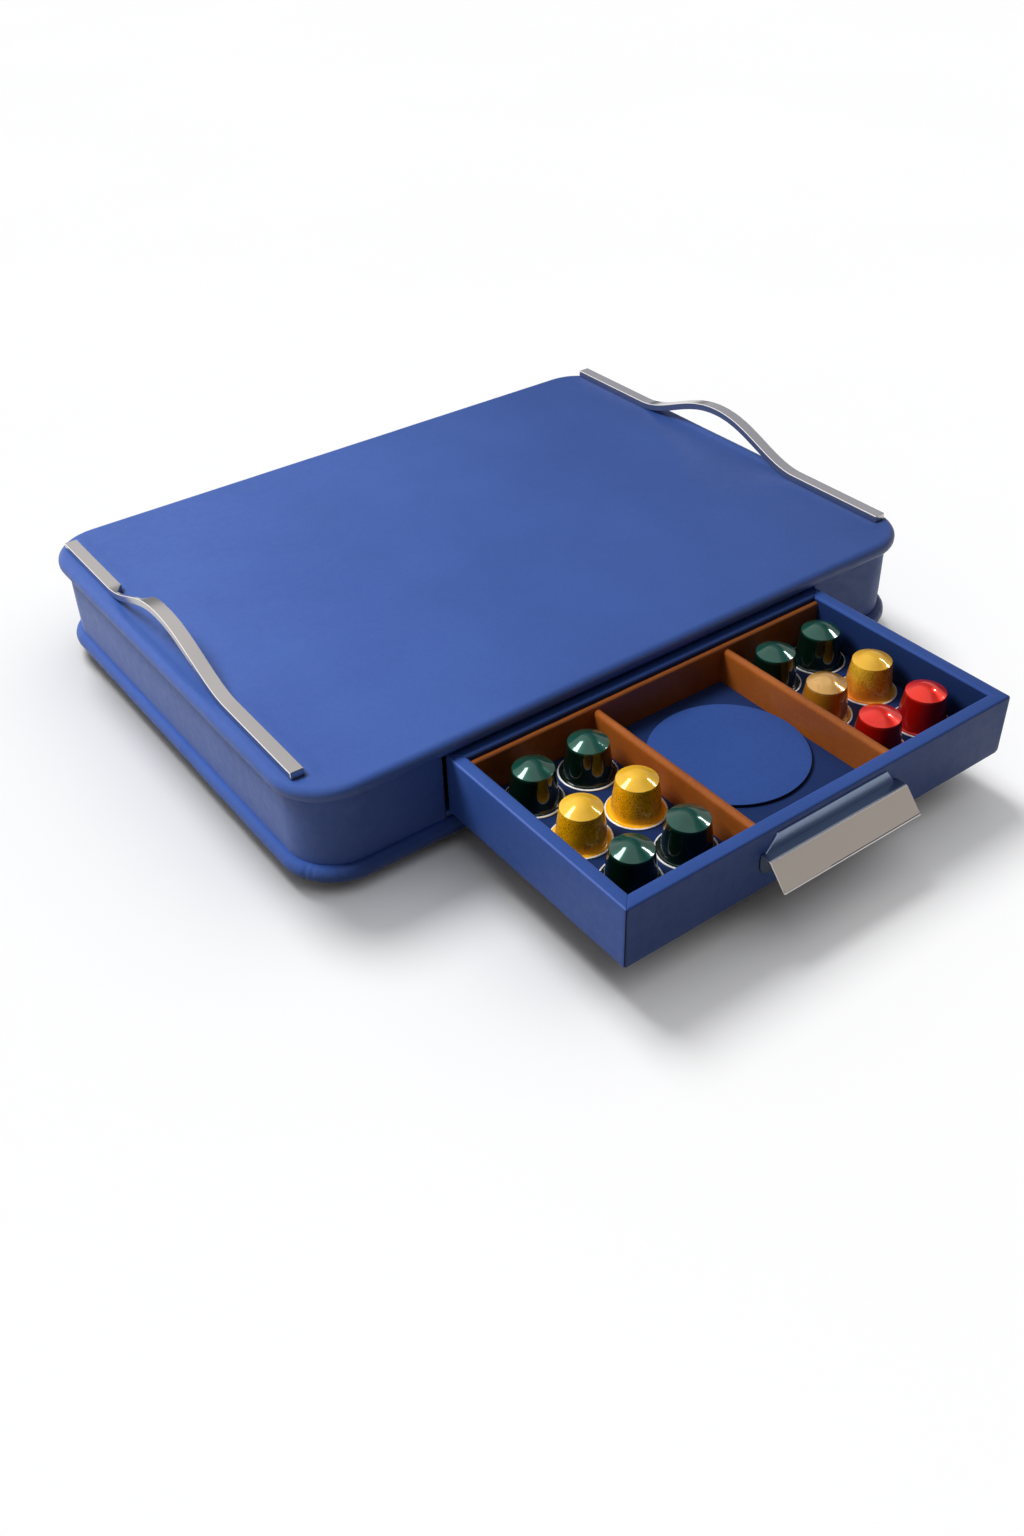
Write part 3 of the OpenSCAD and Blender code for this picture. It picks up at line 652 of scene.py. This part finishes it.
def bar(s):
    """One bar; the left one is cut away along its inner side behind its middle."""
    t, w, c = 5.0, 9.0, 0.40
    y0, y1 = -166.0, 166.0 - (LEFT_SHORT if s < 0 else 0.0)

    def place(a, y, z):
        if s > 0:
            return (238.0 - w / 2 + a, HANDLE_Y + y, z)
        return (-233.5 + LEFT_IN + a * math.cos(LEFT_TURN) - y * math.sin(LEFT_TURN),
                HANDLE_Y + a * math.sin(LEFT_TURN) + y * math.cos(LEFT_TURN), z)

    def ring(y, a0, a1, e):
        """Section at y from a0 to a1 across, drawn in by e at an end."""
        g = (hump(y + 0.5) - hump(y - 0.5)) if y0 + 2 < y < y1 - 2 else 0.0
        l = math.sqrt(1 + g * g)
        ny, nz = -g / l, 1 / l
        sec = [(a0 + c, 0), (a1 - c, 0), (a1, c), (a1, t - c), (a1 - c, t), (a0 + c, t), (a0, t - c), (a0, c)]
        return [place(max(a0 + e, min(a1 - e, a)), y + ny * max(e, min(t - e, b)),
                      TOP_Z + hump(y) + nz * max(e, min(t - e, b))) for a, b in sec]

    def piece(ya, yb, inner, ea=c, eb=c):
        """Stretch of bar from ya to yb; inner(y) is its inner edge."""
        k = max(4, int((yb - ya) / 2))
        ys = [ya, ya + max(ea, 0.01)] + [lerp(ya + 1.0, yb - 1.0, i / k) for i in range(k + 1)] + \
            [yb - max(eb, 0.01), yb]
        rs = [ring(y, -w / 2, inner(y), ea if i == 0 else eb if i == len(ys) - 1 else 0.0)
              for i, y in enumerate(ys)]
        return loft(rs, cap0=True, cap1=True)

    if s > 0:
        parts = [piece(y0, y1, lambda y: w / 2)]
        studs = ((233.5, -140.0), (233.5, 152.0))
    else:
        slim = 2.4 - w / 2

        def inner(y):
            if y <= 19.0 or y >= 82.0:
                return w / 2
            if y < 24.0:
                return lerp(w / 2, slim, ((y - 19.0) / 5.0))
            if y > 70.0:
                return lerp(slim, w / 2, (y - 70.0) / 12.0)
            return slim

        stops = [y0, y0 + c] + [lerp(y0 + 1, 18.6, i / 90) for i in range(91)] + \
            [19.0, 19.6, 21.5, 23.4, 24.0] + [lerp(24.8, 69.4, i / 30) for i in range(31)] + \
            [70.0, 70.8, 74, 78, 81.2, 82.0] + [lerp(82.8, y1 - 1, i / 40) for i in range(41)] + [y1 - c, y1]
        parts = [loft([ring(y, -w / 2, inner(y), c if i in (0, len(stops) - 1) else 0.0)
                       for i, y in enumerate(stops)], cap0=True, cap1=True)]
        studs = [place(0, v, 0)[:2] for v in (-146.0, 134.0)]
    for cx, cy in studs:
        stud = [[(cx + r * math.cos(a), cy + r * math.sin(a), z) for a in [2 * PI * j / 20 for j in range(20)]]
                for r, z in ((2.0, 52.0), (2.5, 52.6), (2.5, 79.0))]
        parts.append(loft(stud, cap0=True, cap1=True))
    return join(*parts)


for side, s in (("left", -1), ("right", 1)):
    def bar_look(c, nrm, s=s):
        """0 face, 1 chamfer in painted highlight steel, 2 cut face of the left bar in painted shade steel."""
        if s < 0 and 24.5 < c.y < 87.0 and nrm.x > 0.45 and c.z > 80:
            return 2
        if abs(nrm.x) > 0.5 and abs(nrm.x) < 0.85 and nrm.z > 0.3:
            return 1
        return 0

    make(side + "_bar", bar(s), "case", [m_handle, m_highlight_steel, m_painted_shade_steel], [side + "_handle"], "polished_steel",
         sharp=28, pick=bar_look)


# ----------------------------------------------------------------- drawer

def panel_profile(T, zb, r_ob, r_ot, r_it, r_ib):
    """Closed section of a covered panel, (distance in from its outer face, height)."""
    p = []
    p += arc(r_ob, zb + r_ob, r_ob, r_ob, PI * 1.5, PI, 5)
    for z in (zb + 8, zb + 15, zb + 22, zb + 29):
        if zb + r_ob + 2 < z < RIM_Z - r_ot - 2:
            p.append((0.0, z))
    p += arc(r_ot, RIM_Z - r_ot, r_ot, r_ot, PI, PI / 2, 6)
    p += [(T * 0.5, RIM_Z + 0.12)]
    p += arc(T - r_it, RIM_Z - r_it, r_it, r_it, PI / 2, 0, 6)
    for z in (RIM_Z - 9, RIM_Z - 16, RIM_Z - 23):
        p.append((T, z))
    p += arc(T - r_ib, zb + r_ib, r_ib, r_ib, 0, -PI / 2, 3)
    return p


def panel(name, place, length, T, zb, nodes, radii, where, side_of, ends=0.8, seed=0.0, cut=None, crest_highlight=True,
          shade_seam_width=0.0):
    """place(u, t, z) gives a point u along the panel (0 to length at its outer
    face), t in from the outer face.  Both ends are mitred and eased."""
    prof = panel_profile(T, zb, *radii)
    n = len(prof)
    nrm = []
    for i in range(n):
        (x0, y0), (x1, y1) = prof[i - 1], prof[(i + 1) % n]
        dx, dy = x1 - x0, y1 - y0
        l = math.hypot(dx, dy) or 1
        nrm.append((dy / l, -dx / l))          # inward for this winding
    cx, cz = T / 2, (zb + RIM_Z) / 2
    us = [0.0, 0.15 * ends, 0.45 * ends, ends, 2.5, 6.0]
    mid = [lerp(12.0, length - 12.0, i / 18) for i in range(19)]
    us = us + mid + [length - u for u in reversed(us)]
    rings = []
    for u in us:
        e = min(u, length - u)
        d = 0.0 if e >= ends else ends - math.sqrt(max(0.0, ends ** 2 - (ends - e) ** 2))
        ring = []
        for (t, z), (a, b) in zip(prof, nrm):
            if (cx - t) * a + (cz - z) * b < 0:
                a, b = -a, -b
            soft = 0.35 if z > RIM_Z - 0.5 else (0.6 if t > T - 0.5 else 1.0)
            t2, z2 = t + a * d * soft, z + b * d * soft
            k = 0.10 * wob(u, t * 3, z, 26.0, seed) * smooth(e / 10.0)
            t2 += a * k
            z2 += b * k
            if cut:
                z2 = cut(u, t2, z2)
            ring.append(place(u, t2, z2))
        rings.append(ring)
    ob = make(name, loft(rings, cap0=True, cap1=True), "drawer", [m_drawer, m_shaded_mat, m_crest_highlight, m_seam_shade_edge], nodes,
              "blue_leather", sharp=50)
    for q in ob.data.polygons:
        u, t = where(Vector(q.center) / MM)
        z = q.center.z / MM
        up, out = q.normal.z, side_of(q.normal)
        # inner faces below the rim take the darker leather: painted shade inside the drawer
        if t > T - 0.4 and z < RIM_Z - 2.4:
            q.material_index = 1
        # painted highlight on the rounding of the outer top edge
        elif t < 1.2 and 0.55 < up < 0.93 and out > 0.2 and crest_highlight:
            q.material_index = 2
        # near-black painted shade in the corner seam
        elif u < shade_seam_width or length - u < shade_seam_width:
            q.material_index = 3
    return ob


def mitre(u, length, t, k):
    """Pulls a point in from both ends by the mitre: 0 at the outer face."""
    c = t * k
    e0, e1 = u, length - u
    if e0 < length / 2:
        return u + c * max(0.0, 1 - e0 / (length / 2))
    return u - c * max(0.0, 1 - e1 / (length / 2))


GAP = 0.06
SIDE_L = BACK_Y - FRONT_Y - 2 * GAP
WIDE_L = 2 * OUT_X - 2 * GAP
radii = (1.2, 1.5, 1.7, 0.8)


def on_left(u, t, z):
    return (-OUT_X + t, FRONT_Y + GAP + mitre(u, SIDE_L, t, 1.03), z)


def on_right(u, t, z):
    return (OUT_X - t, FRONT_Y + GAP + mitre(u, SIDE_L, t, 1.03), z)


def on_front(u, t, z):
    return (-OUT_X + GAP + mitre(u, WIDE_L, t, 0.947), FRONT_Y + t, z)


def on_back(u, t, z):
    return (-OUT_X + GAP + mitre(u, WIDE_L, t, 1.0), BACK_Y - t, z)


CORNER = 5.0


def round_corner(u, t, z):
    """Lower right corner of the front, rounded as on the right side."""
    e = u - (WIDE_L - CORNER)
    if e <= 0 or z > RIM_BOT + CORNER:
        return z
    low = RIM_BOT + CORNER - math.sqrt(max(0.0, CORNER ** 2 - e ** 2))
    return max(z, low)


panel("front_cover", on_front, WIDE_L, 9.5, RIM_BOT, ["front_leather", "drawer_front"], radii,
      lambda c: (c.x + OUT_X, c.y - FRONT_Y), lambda n: -n.y, seed=1.7, cut=round_corner, crest_highlight=False, shade_seam_width=0.85)
panel("left_cover", on_left, SIDE_L, 9.0, RIM_BOT, ["left_side_leather", "drawer_left_side"], radii,
      lambda c: (c.y - FRONT_Y, c.x + OUT_X), lambda n: -n.x, seed=3.1)
panel("right_cover", on_right, SIDE_L, 9.0, RIM_BOT, ["right_side_leather", "drawer_right_side"],
      (CORNER, 1.5, 1.7, 0.8), lambda c: (c.y - FRONT_Y, OUT_X - c.x), lambda n: n.x, seed=5.9)
panel("back_cover", on_back, WIDE_L, 9.0, BOARD_Z1, ["back_leather", "drawer_back"], radii,
      lambda c: (c.x + OUT_X, BACK_Y - c.y), lambda n: n.y, seed=8.3)

# mat covers, in the darker leather that paints shade inside the drawer
for name, x0, x1 in (("left", -IN_X, -51.0), ("middle", -45.0, 55.2), ("right", 61.2, IN_X)):
    soft_box(name + "_mat_cover", (x0 + 0.3, IN_Y0 + 0.3, BOARD_Z1), (x1 - 0.3, STRIP_Y0 - 0.3, MAT_Z), 0.6,
             "drawer", m_shaded_mat, [name + "_mat"], seg=3, step=8.0, ripple=0.12, seed=x0 * 0.1)


def ridge(name, nodes, place, length, w, z0, z1, seed):
    """Leather-covered board with a rounded top edge, run along place(u, t, z)."""
    r = w / 2
    prof = [(0.0, z0), (0.0, lerp(z0, z1, 0.35)), (0.0, lerp(z0, z1, 0.7))]
    prof += [(r - r * math.cos(PI * i / 12), z1 - r + r * math.sin(PI * i / 12)) for i in range(13)]
    prof += [(w, lerp(z0, z1, 0.7)), (w, lerp(z0, z1, 0.35)), (w, z0)]
    k = max(8, int(length / 5))
    rings = []
    for i in range(k + 1):
        u = length * i / k
        ring = []
        for t, z in prof:
            top = smooth((z - (z1 - 8)) / 8)
            dt = 0.16 * wob(u, t, z, 16.0, seed) * (0.4 + 0.6 * top)
            dz = 0.22 * wob(u, 0, 0, 19.0, seed + 3) * top
            ring.append(place(u, t + dt * (1 if t > r else -1) * 0.6, z + dz))
        rings.append(ring)
    return make(name, loft(rings, cap0=True, cap1=True), "drawer", m_brown, nodes, "brown_leather", sharp=50)


ridge("back_strip_cover", ["back_strip"], lambda u, t, z: (-IN_X + u, STRIP_Y0 + t, z), 2 * IN_X, 4.0,
      BOARD_Z1, 63.4, 2.0)
for name, x in (("left", -48.0), ("right", 58.2)):
    ridge(name + "_divider_cover", [name + "_divider"],
          lambda u, t, z, x=x: (x - 3 + t, IN_Y0 + u, z), STRIP_Y0 - IN_Y0, 6.0, BOARD_Z1, 60.6, x * 0.31)


# ------------------------------------------------------------------- pull

PULL_X, PULL_W = -1.3, 54.0


def run(sec, x0, x1, ease=0.3):
    """Extrudes a closed (y, z) section along X with slightly eased ends."""
    n = len(sec)
    area = sum(sec[i - 1][0] * sec[i][1] - sec[i][0] * sec[i - 1][1] for i in range(n))
    s = 1 if area > 0 else -1
    nr = []
    for i in range(n):
        (ya, za), (yb, zb) = sec[i - 1], sec[(i + 1) % n]
        l = math.hypot(yb - ya, zb - za) or 1
        nr.append((-(zb - za) / l * s, (yb - ya) / l * s))
    rings = []
    for x, d in [(x0, ease), (x0 + ease * 0.4, ease * 0.35), (x0 + ease, 0)] + \
            [(lerp(x0 + 1, x1 - 1, i / 12), 0) for i in range(13)] + \
            [(x1 - ease, 0), (x1 - ease * 0.4, ease * 0.35), (x1, ease)]:
        rings.append([(x, y + a * d, z + b * d) for (y, z), (a, b) in zip(sec, nr)])
    return loft(rings, cap0=True, cap1=True)


def plate():
    """Flat plate on the drawer front, slightly crowned above the ledge."""
    w = PULL_W
    edge = [(w - 8 + 8 * math.sin(a), 44 - 8 * math.cos(a)) for a in [PI / 2 * i / 12 for i in range(13)]]
    edge[0] = (w - 8, 36.0)
    edge += [(w, 47.0), (w, 50.0), (w - 3.5, 51.6)]
    edge += [(lerp(w - 3.5, w - 11, i / 10), lerp(51.6, 62.05, i / 10)) for i in range(1, 11)] + [(w - 11.3, 62.3)]
    rings = []
    for half, z in edge:
        crown = 0.22 * max(0.0, 1 - ((z - 57.2) / 5.2) ** 2)
        yb = FRONT_Y + 0.3
        yf = FRONT_Y - 0.9 - crown + (0.25 if z > 62.1 else 0.0)
        row = [(-half, yb), (-half, yf + 0.3), (-half + 0.3, yf)]
        row += [(lerp(-half + 1, half - 1, i / 10), yf) for i in range(11)]
        row += [(half - 0.3, yf), (half, yf + 0.3), (half, yb)]
        rings.append([(PULL_X + x, y, z) for x, y in row])
    return loft(rings, cap0=True, cap1=True)


def lip():
    """Ledge and sloping lip, one sheet with a rounded bend."""
    y = FRONT_Y
    k = math.atan2(14.2, 13.0)
    c = [(y - 0.45, 51.6), (y - 3.0, 51.6), (y - 6.2, 51.6)]
    c += arc(y - 6.9, 50.1, 1.5, 1.5, PI / 2, PI - (PI / 2 - (PI / 2 - k)) * 0.0 - (PI / 2 - k), 6)
    e = c[-1]
    tip = (y - 20.2, 37.75)
    for i in range(1, 9):
        c.append((lerp(e[0], tip[0], i / 8), lerp(e[1], tip[1], i / 8)))
    t = 1.3
    under = []
    for i in range(len(c)):
        (x0, y0), (x1, y1) = c[max(0, i - 1)], c[min(len(c) - 1, i + 1)]
        dx, dy = x1 - x0, y1 - y0
        l = math.hypot(dx, dy) or 1
        under.append((c[i][0] - dy / l * t, c[i][1] + dx / l * t))
    return c, under


TOPS, UNDER = lip()
BOT = TOPS[-1]
DIR = Vector((BOT[0] - TOPS[9][0], BOT[1] - TOPS[9][1])).normalized()
OUTW = Vector((DIR.y, -DIR.x))
if OUTW.x > 0:
    OUTW = -OUTW


def pull_look(c, nrm):
    """0 lip, 1 blue-grey painted reflection of the leather, 2 painted highlight on the bend, 3 painted shade below the
    ledge.
    """
    y, z = c.y - FRONT_Y, c.z
    if y > -1.6 and abs(nrm.z) < 0.99 and not (y < -0.5 and abs(z - 51.2) < 0.5):
        return 1 if z > 51.6 else 3
    if y > -5.9 and nrm.z > 0.8:
        return 1
    if nrm.z > 0.72 and y > -7.8:
        return 2
    return 0


make("steel_pull", join(plate(), run(list(TOPS) + list(reversed(UNDER)), -55.3, 52.7)), "drawer",
     [m_pull, m_blue_reflection_steel, m_highlight_steel, m_painted_shade_steel], ["drawer_pull"], "polished_steel", sharp=30, pick=pull_look)
# thickened lower edge of the lip, in painted highlight steel, and the folded layer behind it, in painted shade steel
h = Vector(BOT) + OUTW * 0.05 - DIR * 0.32
bead = [(h.x + OUTW.x * 0.26 * math.cos(a) + DIR.x * 0.36 * math.sin(a),
         h.y + OUTW.y * 0.26 * math.cos(a) + DIR.y * 0.36 * math.sin(a)) for a in [2 * PI * i / 14 for i in range(14)]]
make("pull_hem", run(bead, -55.2, 52.6, 0.2), "drawer", m_highlight_steel, (), "polished_steel", sharp=40)
g = Vector(BOT) + OUTW * 0.02 - DIR * 0.95
line = [(g.x + OUTW.x * a + DIR.x * b, g.y + OUTW.y * a + DIR.y * b) for a, b in
        ((-0.3, -0.16), (0.03, -0.16), (0.03, 0.16), (-0.3, 0.16))]
make("pull_crease", run(line, -20.0, 52.4, 0.05), "drawer", m_painted_shade_steel, (), "polished_steel", sharp=40)


# ---------------------------------------------------- disc and the capsules

def revolve(sec, cx, cy, cz, n=72, tweak=None):
    rings = []
    for r, z in sec:
        ring = []
        for j in range(n):
            a = 2 * PI * j / n
            rr, zz = (r, z) if tweak is None else tweak(r, z, a)
            ring.append((cx + rr * math.cos(a), cy + rr * math.sin(a), cz + zz))
        rings.append(ring)
    return loft(rings)


DX, DY = 5.1, -254.0
sec = [(0.0, 0.0), (20, 0.0), (40, 0.0)] + arc(49.1, 0.45, 0.45, 0.45, -PI / 2, 0, 3)[1:]
sec += [(49.55, 1.6)] + arc(49.1, 1.75, 0.45, 0.45, 0, PI / 2, 5)[1:]
sec += [(r, 2.22) for r in (46, 42, 36, 30, 24, 18, 12, 6, 0.0)]
# the disc's side and underside take the near-black leather
make("disc_cover", revolve(sec, DX, DY, MAT_Z + 0.03, 120,
                           lambda r, z, a: (r, z + (0.10 * wob(r * math.cos(a), r * math.sin(a), 0, 26, 6.0)
                                                    if z > 2.1 else 0))),
     "loose_disc", [m_disc, m_seam_shade_edge], ["disc"], "deep_blue_leather", sharp=50,
     pick=lambda c, nrm: 1 if nrm.z < 0.55 else 0)

COL = (-112.4, -72.0, 80.4, 121.0)
ROW = (-302.4, -259.1, -215.0)
H = 28.3


def capsule(name, body, x, y, mat, slot, turn, dent=None):
    """Capsule standing on its rim.  The first faces are bare foil."""
    s = [(0.0, 0.35), (13.0, 0.35), (15.6, 0.30), (16.6, 0.05), (17.5, 0.0)]
    s += arc(17.80, 0.58, 0.70, 0.58, -PI / 2, PI / 2, 8)[1:]
    s += [(17.45, 1.10), (17.2, 0.98), (16.7, 0.92), (16.2, 0.95), (15.8, 1.05), (15.45, 1.35), (15.2, 1.9),
          (15.0, 2.7)]
    for i in range(1, 10):
        t = i / 9
        s.append((lerp(14.9, 12.62, t) + 0.12 * math.sin(PI * t), lerp(3.4, 21.9, t)))
    s += [(12.52, 22.3), (12.50, 22.65)] + arc(12.12, 22.95, 0.36, 0.36, -0.1, PI / 2 - 0.40, 5)
    slope = math.radians(27.5)
    for i in range(1, 8):
        r = lerp(12.0, 6.6, i / 7)
        s.append((r, 23.35 + (12.0 - r) * math.tan(slope)))
    z0, big = s[-1][1], 6.6 / math.sin(slope)
    for i in range(1, 8):
        a = slope * (1 - i / 7)
        s.append((big * math.sin(a), z0 + big * (math.cos(a) - math.cos(slope))))

    def tweak(r, z, a):
        b = a + turn
        k = 0.10 * wob(r * math.cos(b) + x, r * math.sin(b) + y, z, 9.0, 3.3)
        out_r = r + (k if 2 < z < 24 else k * 0.3 if z > 1 else 0)
        out_z = z
        if z > 23.6:
            out_z += 0.05 * wob(r * math.cos(b), r * math.sin(b), x, 6.0, 8.0)
        if dent and z > 23.2:
            px, py = r * math.cos(a), r * math.sin(a)
            for dx, dy, w, deep in dent:
                out_z -= deep * bell(math.hypot(px - dx, py - dy), w)
        return out_r, out_z

    ob = make(name + "_capsule", revolve(s, x, y, MAT_Z + 0.04, 80, tweak), body, [mat, m_foil], [name], slot, sharp=38,
              pick=lambda c, nrm: 1 if c.z - MAT_Z < 1.5 and (
                  math.hypot(c.x - x, c.y - y) > 17.6 or c.z - MAT_Z < 0.5) else 0)
    return ob


G, Y, O, A, RD = (m_green, "green_pod"), (m_yellow, "yellow_pod"), (m_orange, "yellow_pod"), \
    (m_amber, "amber_pod"), (m_red, "red_pod")
pods = [("pod_left_1", 0, 2, G), ("pod_left_2", 1, 2, G), ("pod_left_3", 1, 1, Y), ("pod_left_4", 0, 1, Y),
        ("pod_left_5", 1, 0, G), ("pod_left_6", 0, 0, G), ("pod_right_1", 3, 2, G), ("pod_right_2", 2, 2, G),
        ("pod_right_3", 3, 1, O), ("pod_right_4", 2, 1, A), ("pod_right_5", 3, 0, RD), ("pod_right_6", 2, 0, RD)]
for i, (name, c, r, (mat, slot)) in enumerate(pods):
    dent = None
    if name == "pod_right_4":
        dent = ((-3.5, -2.0, 3.6, 0.75), (4.5, -5.5, 3.0, 0.45))
    if name == "pod_left_6":
        dent = ((0.0, 6.5, 3.4, 0.35),)
    capsule(name, "body_" + name, COL[c], ROW[r], mat, slot, i * 1.7, dent)


# ------------------------------------------------------- stage and camera

def stage_mesh(name, verts, faces, mat):
    me = bpy.data.meshes.new(name)
    me.from_pydata(verts, [], faces)
    me.materials.append(mat)
    ob = bpy.data.objects.new(name, me)
    bpy.context.scene.collection.objects.link(ob)
    return ob


WORLD_DIR = (-0.15, 0.75, 0.55)
WORLD_SOFT = ((-1.0, 0.02), (-0.5, 0.045), (0.0, 0.12), (0.6, 0.28), (1.0, 0.37))
GLOSS_DIR = (-0.80, 0.30, 0.50)
WORLD_GLOSS = ((-1.0, (0.60, 0.58, 0.56)), (-0.40, (0.66, 0.64, 0.62)), (-0.27, (0.58, 0.56, 0.55)),
               (-0.20, (0.10, 0.14, 0.22)), (-0.06, (0.05, 0.09, 0.18)), (0.06, (0.26, 0.29, 0.36)), (0.19, 0.45),
               (0.27, 1.05), (1.0, 1.15))
SUN_DIR, SUN_E, SUN_ANGLE = (0.05, 0.75, 1.0), 2.05, 25.0
FILL_DIR, FILL_E, FILL_ANGLE = (0.40, -0.10, 1.0), 1.22, 84.0
KEY_AT, KEY_W, KEY_SIZE = (-0.52, 0.24, 0.92), 13.8, 0.40
BOUNCE = 0.28

n = Net("floor")
bounce = n.t.nodes.new("ShaderNodeLightPath").outputs["Is Diffuse Ray"]
pale = n.ramp(n.noise(2.0), (0.3, (0.90, 0.90, 0.905)), (0.7, (0.91, 0.91, 0.915)))
m_floor = n.put(Base_Color=n.mix(bounce, pale, (BOUNCE, BOUNCE, BOUNCE)), Roughness=0.9, Specular_IOR_Level=0.1)
S = 30.0
floor = stage_mesh("floor", [(-S, -S, 0), (S, -S, 0), (S, S, 0), (-S, S, 0)], [(0, 1, 2, 3)], m_floor)

# a pale dome for the camera alone, so that every view has a plain background
m_sky = bpy.data.materials.new("pale_backdrop")
m_sky.use_nodes = True
t = m_sky.node_tree
t.nodes.clear()
em = t.nodes.new("ShaderNodeEmission")
em.inputs["Color"].default_value = (0.985, 0.985, 0.987, 1)
t.links.new(em.outputs[0], t.nodes.new("ShaderNodeOutputMaterial").inputs["Surface"])
v, f = [], []
for i in range(9):
    e = PI / 2 * i / 8
    for j in range(32):
        a = 2 * PI * j / 32
        v.append((28 * math.cos(e) * math.cos(a), 28 * math.cos(e) * math.sin(a), 28 * math.sin(e) - 0.5))
for i in range(8):
    for j in range(32):
        f.append((i * 32 + j, i * 32 + (j + 1) % 32, (i + 1) * 32 + (j + 1) % 32, (i + 1) * 32 + j))
dome = stage_mesh("backdrop", v, f, m_sky)
for k in ("visible_diffuse", "visible_glossy", "visible_transmission", "visible_shadow", "visible_volume_scatter"):
    setattr(dome, k, False)

# studio light: a graded surround, brightest behind and above, and dark in front
world = bpy.data.worlds.new("studio")
bpy.context.scene.world = world
world.use_nodes = True
t = world.node_tree
tc = t.nodes.new("ShaderNodeTexCoord")


def gradient(towards, *stops):
    dot = t.nodes.new("ShaderNodeVectorMath")
    dot.operation = "DOT_PRODUCT"
    dot.inputs[1].default_value = Vector(towards).normalized()
    mr = t.nodes.new("ShaderNodeMapRange")
    mr.inputs["From Min"].default_value = -1
    ramp = t.nodes.new("ShaderNodeValToRGB")
    t.links.new(tc.outputs["Generated"], dot.inputs[0])
    t.links.new(dot.outputs["Value"], mr.inputs["Value"])
    t.links.new(mr.outputs["Result"], ramp.inputs["Fac"])
    e = ramp.color_ramp.elements
    while len(e) < len(stops):
        e.new(0.5)
    for el, (pos, val) in zip(e, stops):
        el.position = (pos + 1) / 2
        el.color = (*(val if isinstance(val, tuple) else (val, val, val)), 1)
    return ramp.outputs["Color"]


soft = gradient(WORLD_DIR, *WORLD_SOFT)
gloss = gradient(GLOSS_DIR, *WORLD_GLOSS)
path = t.nodes.new("ShaderNodeLightPath")
mix = t.nodes.new("ShaderNodeMix")
mix.data_type = "RGBA"
t.links.new(path.outputs["Is Glossy Ray"], mix.inputs[0])
t.links.new(soft, mix.inputs[6])
t.links.new(gloss, mix.inputs[7])
t.links.new(mix.outputs[2], t.nodes["Background"].inputs["Color"])

groups = {}


def only(light_ob, name, members):
    """Lets a light fall on the given objects alone."""
    if name not in groups:
        groups[name] = bpy.data.collections.new(name)
        for o in members:
            groups[name].objects.link(o)
    light_ob.light_linking.receiver_collection = groups[name]


def light(name, kind, at, look, power, size, color=(1, 1, 1), glossy=True, diffuse=True):
    d = bpy.data.lights.new(name, kind)
    d.energy = power
    d.color = color
    if kind == "SUN":
        d.angle = size
    else:
        d.shape = "RECTANGLE"
        d.size, d.size_y = size
    o = bpy.data.objects.new(name, d)
    bpy.context.scene.collection.objects.link(o)
    o.location = at
    o.rotation_mode = "QUATERNION"
    o.rotation_quaternion = (Vector(look) - Vector(at)).to_track_quat("-Z", "Y")
    o.visible_glossy = glossy
    o.visible_diffuse = diffuse
    return o


pieces = [o for o in bpy.context.scene.objects if o.type == "MESH" and o not in (floor, dome)]
to = Vector((0.0, -0.12, 0.05))
k = light("sun_back", "SUN", to + Vector(SUN_DIR) * 2, to, SUN_E, math.radians(SUN_ANGLE), glossy=False)
only(k, "ground", [floor])
k = light("sky_over_floor", "SUN", to + Vector(FILL_DIR) * 2, to, FILL_E, math.radians(FILL_ANGLE), glossy=False)
only(k, "ground", [floor])
k = light("softbox_left", "AREA", KEY_AT, to, KEY_W, (KEY_SIZE, KEY_SIZE), glossy=False)
only(k, "object", pieces)
pods_all = [o for o in pieces if o.name.endswith("_capsule")]
near = Vector((0.234, 0.0, 0.09))
k = light("bar_softbox", "AREA", near + Vector((0.67, 0.40, 0.62)).normalized() * 2.0, near, 8.6, (2.2, 2.2),
          color=(1.0, 0.97, 0.94), diffuse=False)
only(k, "right_bar", [o for o in pieces if o.name == "right_bar"])
near = Vector((-0.092, -0.259, 0.065))
k = light("streak_left", "AREA", near + Vector((-0.255, 0.483, 0.839)) * 2.5, near, 27.0, (0.66, 0.58), diffuse=False)
only(k, "left_capsules", [o for o in pods_all if "left" in o.name and "_5" not in o.name])
near = Vector((0.0, -0.259, 0.065))
k = light("streak_right", "AREA", near + Vector((0.759, -0.067, 0.647)) * 2.5, near, 13.0, (0.26, 0.50), diffuse=False)
only(k, "capsules", pods_all)

cam = bpy.data.objects.new("camera", bpy.data.cameras.new("camera"))
bpy.context.scene.collection.objects.link(cam)
bpy.context.scene.camera = cam
right = Vector((0.80523032, -0.59247445, -0.02404474))
down = Vector((-0.38320096, -0.48900599, -0.78360077))
fwd = Vector((0.45250542, 0.64019307, -0.62079923))
rot = Matrix((right, -down, -fwd)).transposed()
cam.rotation_mode = "QUATERNION"
cam.rotation_quaternion = rot.to_quaternion()
cam.location = (-0.484507, -0.720345, 0.557956)
cam.data.sensor_fit = "VERTICAL"
cam.data.sensor_height = 36.0
cam.data.sensor_width = 36.0
cam.data.lens = 1398.33 / 1536 * 36
cam.data.clip_start, cam.data.clip_end = 0.01, 100

view = bpy.context.scene.view_settings
view.view_transform = "Standard"
view.look = "None"
view.exposure = 0.0
view.gamma = 1.0
